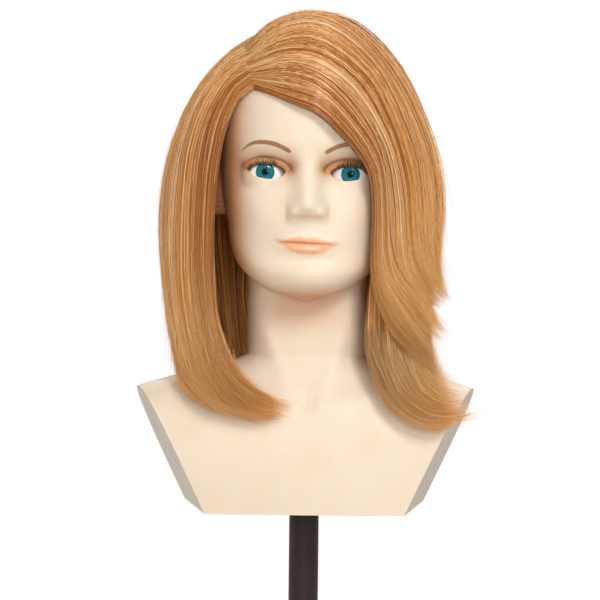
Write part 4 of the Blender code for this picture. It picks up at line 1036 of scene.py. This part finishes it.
def strands(sheet, count, along, seed, span, deep, ends, tuck=(), sunk=0.0, edge=0.0):
    """Strands over a span of a sheet and a range of depth, drifting in and out of locks and
    gathering at their tips. They run deeper towards the second place of tuck, to pass under the
    next layer, and all but their ends are sunk this deep. The front edge gets painted shade by
    edge, where it lies in shadow. Returns their paths, the outward direction and a shade each."""
    r = np.random.default_rng(seed)
    u = r.uniform(*span, count)
    clumps = int(CLUMPS * (span[1] - span[0]))
    centres = np.sort(r.uniform(*span, clumps))
    nearest = np.clip(np.searchsorted(centres, u), 1, clumps - 1)
    closer = np.abs(centres[nearest - 1] - u) < np.abs(centres[nearest] - u)
    nearest = np.where(closer, nearest - 1, nearest)
    t = np.linspace(0, 1, along)[None, :]
    length = ends(u, r) * (1 + r.normal(0, 0.030, clumps)[nearest] + r.normal(0, 0.022, count))
    length = np.minimum(length, 1 - 0.08 * r.uniform(0, 1, count) ** 0.6)
    own_t = np.maximum(length, 0.2)[:, None] * t
    wide, narrow = drift(seed + 1, (7, 3)), drift(seed + 2, (26, 6))
    groove = drift(seed + 3, (60, 5))
    at_u = np.broadcast_to(u[:, None], own_t.shape)
    loose = smooth_step(0, 0.3, t)
    sway = 0.014 * wide(at_u, own_t) + 0.008 * narrow(at_u, own_t)
    stray = r.normal(0, 0.0035, count)[:, None] * np.sin(
        2 * math.pi * (t * r.uniform(0.5, 1.6, count)[:, None] + r.uniform(0, 1, count)[:, None])
    )
    pull = GATHER * smooth_step(0.35, 1.0, t) ** 1.3
    own_u = at_u + (centres[nearest] - u)[:, None] * pull + (sway + stray) * loose
    depth = deep[0] + (deep[1] - deep[0]) * r.uniform(0, 1, count)[:, None] ** 1.5
    relief = 0.6 + 0.4 * narrow(at_u, own_t) + 0.12 * groove(at_u, own_t)
    relief = relief + 0.6 * r.uniform(-1, 1, clumps)[nearest][:, None]
    depth = np.maximum(depth + relief * smooth_step(0, 0.15, t), 0.0)
    # A few strands stand clear of the rest
    clear = np.where(r.uniform(0, 1, count) < 0.06, 3.6 * r.uniform(0.3, 1, count) ** 2, 0.0)
    depth = depth - clear[:, None] * smooth_step(0.05, 0.35, t)
    depth = depth + sunk * smooth_step(0.80, 0.55, own_t)
    if tuck:
        depth = depth + 4.5 * smooth_step(*tuck, own_u)
    paths, outward = sheet.paths(own_u, own_t, depth)
    # Roots run on under the hair across the parting
    root = unit(paths[:, 0] - paths[:, 1])
    early = (1 - smooth_step(0, 0.07, t))[..., None]
    reach = r.uniform(0.5, 5.0, count)[:, None, None]
    paths = paths + early * (root[:, None] * reach - 0.28 * reach * outward)
    late = smooth_step(0.74, 1.0, t)[..., None] ** 1.5
    far = np.where(r.uniform(0, 1, (count, 1, 1)) < 0.20, 3.6, 1.1)
    spray = r.normal(0, 1.0, (count, 1, 3)) * far + 1.6 * r.normal(0, 1, (clumps, 1, 3))[nearest]
    paths = paths + late * spray
    shade = 0.6 * r.uniform(0, 1, clumps)[nearest] + r.normal(0.13, 0.22, count)
    shade = shade + 0.2 * narrow(u, 0.4 + 0 * u) + 0.15 * wide(u, 0.2 + 0 * u)
    # Painted shade: strands dimmer towards the front edge, where the hair lies in shadow beside the
    # face
    shade = shade - edge * smooth_step(0.5 * (span[0] + span[1]), span[0], u)
    return paths, outward, np.clip(shade, 0.01, 0.97)


# Colours over the strands' shade: the outer layers, then dim copies as painted shade for the long
# lock, which lies in shadow beside the neck, and for the hair beneath
HAIR_STOPS = (
    (0.0, (0.36, 0.100, 0.018)),
    (0.22, (0.62, 0.250, 0.060)),
    (0.45, (0.82, 0.430, 0.135)),
    (0.70, (0.91, 0.610, 0.310)),
    (1.0, (0.96, 0.820, 0.620)),
)
SHADED_INNER_STOPS = (
    (0.0, (0.20, 0.062, 0.013)),
    (0.5, (0.38, 0.195, 0.062)),
    (1.0, (0.48, 0.345, 0.180)),
)
SHADED_UNDER_STOPS = (
    (0.0, (0.36, 0.090, 0.016)),
    (0.5, (0.62, 0.240, 0.055)),
    (1.0, (0.84, 0.440, 0.140)),
)
LASH_STOPS = (
    (0.0, (0.020, 0.007, 0.003)),
    (0.6, (0.06, 0.022, 0.007)),
    (1.0, (0.30, 0.13, 0.04)),
)


def full_length(u, r):
    """Mostly full length, but shorter where the hair would lie on top of the shoulder."""
    return r.beta(2.4, 1.7, len(u)) * 0.33 + 0.68 - 0.14 * hill(u, 0.64, 0.07)


def swept(u, r):
    """Ends spread over the last third, and shorter where the hair would lie on the shoulder."""
    return r.beta(1.9, 1.5, len(u)) * 0.34 + 0.68 - 0.10 * hill(u, 0.64, 0.07)


def layered(u, r):
    """Ends spread over the last third, as the hair is layered, except at the front edge."""
    return 1 - (1 - r.beta(1.5, 2.0, len(u))) * 0.40 * smooth_step(-0.1, 0.25, u)


def make_hair():
    """Every layer of the hair, each a piece of its own."""
    light = hair_finish("hair_strands", HAIR_STOPS)
    # Painted shade: a dim copy of the hair for the long lock beside the neck, with gold tips as
    # painted light
    inner = hair_finish("hair_inner_shaded", SHADED_INNER_STOPS, 1.0, 0.85, 0.72)
    # Painted shade: a dim copy of the hair for the layers beneath
    dark = hair_finish("hair_under_shaded", SHADED_UNDER_STOPS)
    right = Sheet(RIGHT_GUIDES, 20.0)
    left = Sheet(LEFT_GUIDES, 20.0)
    fringe = Sheet(FRINGE_GUIDES, 10.0, 1.0)
    side = Sheet(SIDE_GUIDES, 10.0, 2.5)
    share, thicker = ((1.0, 1.0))
    fine, plain, flat, broad = (0.15, 0.24), (0.16, 0.26), (0.5, 0.8), (0.9, 1.4)
    # name, sheet, strands, thickness, finish, seed, span, depths, ends, then other options and
    # the CAD node that the layer stands for
    plans = (
        # The fringe's front edge carries painted shade
        ("fringe", fringe, 3400, fine, light, 21, (0, 1), (0, 2.5), layered, {"edge": 0.32},
         "hair_fringe"),
        ("side", side, 5200, fine, light, 22, (0, 1), (0, 2.5), layered, {"tuck": (0.72, 1.0)},
         "hair_right_side"),
        ("long", right, 3400, plain, inner, 23, (0, 0.54), (0, 4), full_length, {"sunk": 7.0},
         None),
        ("right_back", right, 3800, plain, light, 24, (0.54, 1), (0, 3), full_length,
         {"tuck": (0.68, 0.54)}, "hair_right_back"),
        ("left_side", left, 7200, fine, light, 25, (0, 0.66), (0, 3), swept, {}, "hair_left_side"),
        ("left_back", left, 3200, plain, light, 26, (0.60, 1), (0, 3), full_length, {},
         "hair_left_back"),
        ("under_right", right, 4200, flat, dark, 27, (0.02, 1), (4, 11), full_length, {}, None),
        ("under_left", left, 4200, flat, dark, 28, (0.02, 1), (3, 9), full_length, {}, None),
        ("deep_right", right, 2200, broad, dark, 29, (0.06, 1), (9, 19), full_length, {}, None),
        ("deep_left", left, 2200, broad, dark, 30, (0.06, 1), (8, 19), full_length, {}, None),
    )
    for name, sheet, count, thick, finish, seed, span, deep, ends, options, node in plans:
        count = int(count * share)
        # The hair beneath is flat ribbons, the outer layers are tubes
        sides, along = (2, 19) if finish is dark else (3, 25)
        paths, outward, shade = strands(sheet, count, along, seed, span, deep, ends, **options)
        width = thicker * np.random.default_rng(seed).uniform(*thick, count)
        obj = strand_mesh("strands_" + name, paths, width, outward, shade, finish, sides)
        if node:
            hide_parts(node)


# ---- The pieces ----------------------------------------------------------------------------------

skin = skin_finish()
cut = grained("cut_vinyl", (0.66, 0.63, 0.60), (0.74, 0.71, 0.68), 420, (0.5, 0.65), 0.4)
make_skin(skin, cut)
eye = eye_finish()
lash = hair_finish("lash_fibre", LASH_STOPS, tip=0.0)
for eye_name, eye_side in (("left", -1), ("right", 1)):
    make_eye(eye_name, eye_side, eye)
    make_lashes(eye_name, eye_side, lash)
make_hair()

# Slot, then the finish's name, its dark and light colours, grain, roughness and relief, and for
# some how metallic it is and the grain's stretch
LOOKS = (
    ("foam", "filling_foam", (0.62, 0.55, 0.33), (0.78, 0.72, 0.48), 900, (0.85, 0.95), 0.6),
    ("board", "base_board_plastic", (0.44, 0.40, 0.34), (0.56, 0.51, 0.44), 500, (0.45, 0.6), 0.2),
    ("nylon", "bush_nylon", (0.035, 0.03, 0.027), (0.06, 0.055, 0.05), 600, (0.4, 0.55), 0.15),
    ("pole_paint", "pole_paint", (0.018, 0.012, 0.011), (0.034, 0.024, 0.021), 420, (0.34, 0.48),
     0.25, 0.2, (1, 1, 0.25)),
    ("cast_paint", "cast_paint", (0.018, 0.016, 0.016), (0.036, 0.032, 0.032), 520, (0.38, 0.6),
     0.55, 0.2),
    ("fibre", "washer_fibre", (0.22, 0.11, 0.06), (0.34, 0.20, 0.12), 1400, (0.8, 0.92), 0.6),
    ("steel", "turned_steel", (0.40, 0.40, 0.40), (0.62, 0.61, 0.60), 700, (0.22, 0.38), 0.15, 1.0,
     (1, 1, 6)),
    ("zinc", "lever_zinc", (0.44, 0.44, 0.43), (0.60, 0.60, 0.58), 500, (0.28, 0.42), 0.2, 1.0),
    ("black_plastic", "black_plastic", (0.012, 0.012, 0.012), (0.028, 0.028, 0.028), 800,
     (0.35, 0.5), 0.2),
    ("rubber", "rubber", (0.02, 0.02, 0.02), (0.045, 0.045, 0.045), 900, (0.7, 0.85), 0.5),
)
finishes = {slot: grained(*look) for slot, *look in LOOKS}
for entry in frame["record"]["subparts"]:
    finish = finishes.get(entry["material_slot"])
    if finish:
        mesh = frame["nodes"][entry["node"]].data
        mesh.materials.clear()
        mesh.materials.append(finish)

# ---- Studio --------------------------------------------------------------------------------------


FLOOR_HALF = 1.6
FLOOR_LEVEL = -0.21
LIT = Vector((0, 0, 0.40))


def make_floor():
    """A wide pale floor a little under the clamp."""
    n = Nodes("pale_floor")
    at = n.place()
    cloud = n.noise(at, 3.0, 4.0)
    n.shade(
        Base_Color=n.ramp(cloud, (0.3, (0.86, 0.86, 0.86)), (0.7, (0.90, 0.90, 0.90))),
        Roughness=n.spread(cloud, 0.6, 0.75),
        Normal=n.bump(n.noise(at, 220.0), 0.05),
    )
    mesh = bpy.data.meshes.new("floor")
    signs = ((-1, -1), (1, -1), (1, 1), (-1, 1))
    corners = [(FLOOR_HALF * a, FLOOR_HALF * b, FLOOR_LEVEL) for a, b in signs]
    mesh.from_pydata(corners, [], [(0, 1, 2, 3)])
    mesh.materials.append(n.material)
    add_object("floor", mesh)


def area_light(name, at, size, power, colour, glossy=True):
    """A soft light turned to the head."""
    data = bpy.data.lights.new(name, "AREA")
    data.shape = "RECTANGLE"
    data.size, data.size_y = size
    data.energy = power
    data.color = colour
    light = add_object(name, data)
    light.location = at
    light.visible_glossy = glossy
    light.rotation_euler = (LIT - Vector(at)).to_track_quat("-Z", "Y").to_euler()


def make_studio():
    """The floor, five lights, and a world that the camera sees as white but that lights warmly."""
    make_floor()
    world = bpy.data.worlds.new("studio")
    world.use_nodes = True
    bpy.context.scene.world = world
    nodes, links = world.node_tree.nodes, world.node_tree.links
    background = nodes["Background"]
    path = nodes.new("ShaderNodeLightPath")
    strength = nodes.new("ShaderNodeMapRange")
    strength.inputs[3].default_value = 0.42
    strength.inputs[4].default_value = 1.0
    links.new(path.outputs["Is Camera Ray"], strength.inputs[0])
    links.new(strength.outputs[0], background.inputs["Strength"])
    tint = nodes.new("ShaderNodeMix")
    tint.data_type = "RGBA"
    tint.inputs[6].default_value = (1.0, 0.83, 0.66, 1.0)
    tint.inputs[7].default_value = (1.0, 1.0, 1.0, 1.0)
    links.new(path.outputs["Is Camera Ray"], tint.inputs[0])
    links.new(tint.outputs[2], background.inputs["Color"])
    area_light("key", (0.45, -1.2, 1.35), (0.45, 0.45), 15.0, (0.96, 0.98, 1.0))
    area_light("front", (-0.1, -1.8, 0.55), (0.9, 0.9), 10.5, (0.98, 0.97, 0.98), glossy=False)
    area_light("catch", (0.30, -1.55, 0.66), (0.14, 0.14), 1.0, (1.0, 1.0, 1.0))
    area_light("rim", (0.1, 1.3, 1.2), (1.4, 0.6), 12.0, (1.0, 0.98, 0.96))
    area_light("side", (-1.5, 0.35, 0.7), (0.6, 1.0), 2.5, (1.0, 0.98, 0.96))


def make_camera():
    """A long lens at the height of the neck, looking straight at the face."""
    data = bpy.data.cameras.new("camera")
    data.sensor_width = 36.0
    data.lens = 125.0
    camera = add_object("camera", data)
    camera.matrix_world = (
        Matrix.Translation((-0.0051, -1.70, 0.354))
        @ Matrix.Rotation(math.radians(90), 4, "X")
        @ Matrix.Rotation(math.radians(0.6), 4, "Z")
    )
    bpy.context.scene.camera = camera


make_studio()
make_camera()
bpy.context.scene.view_settings.view_transform = "Standard"
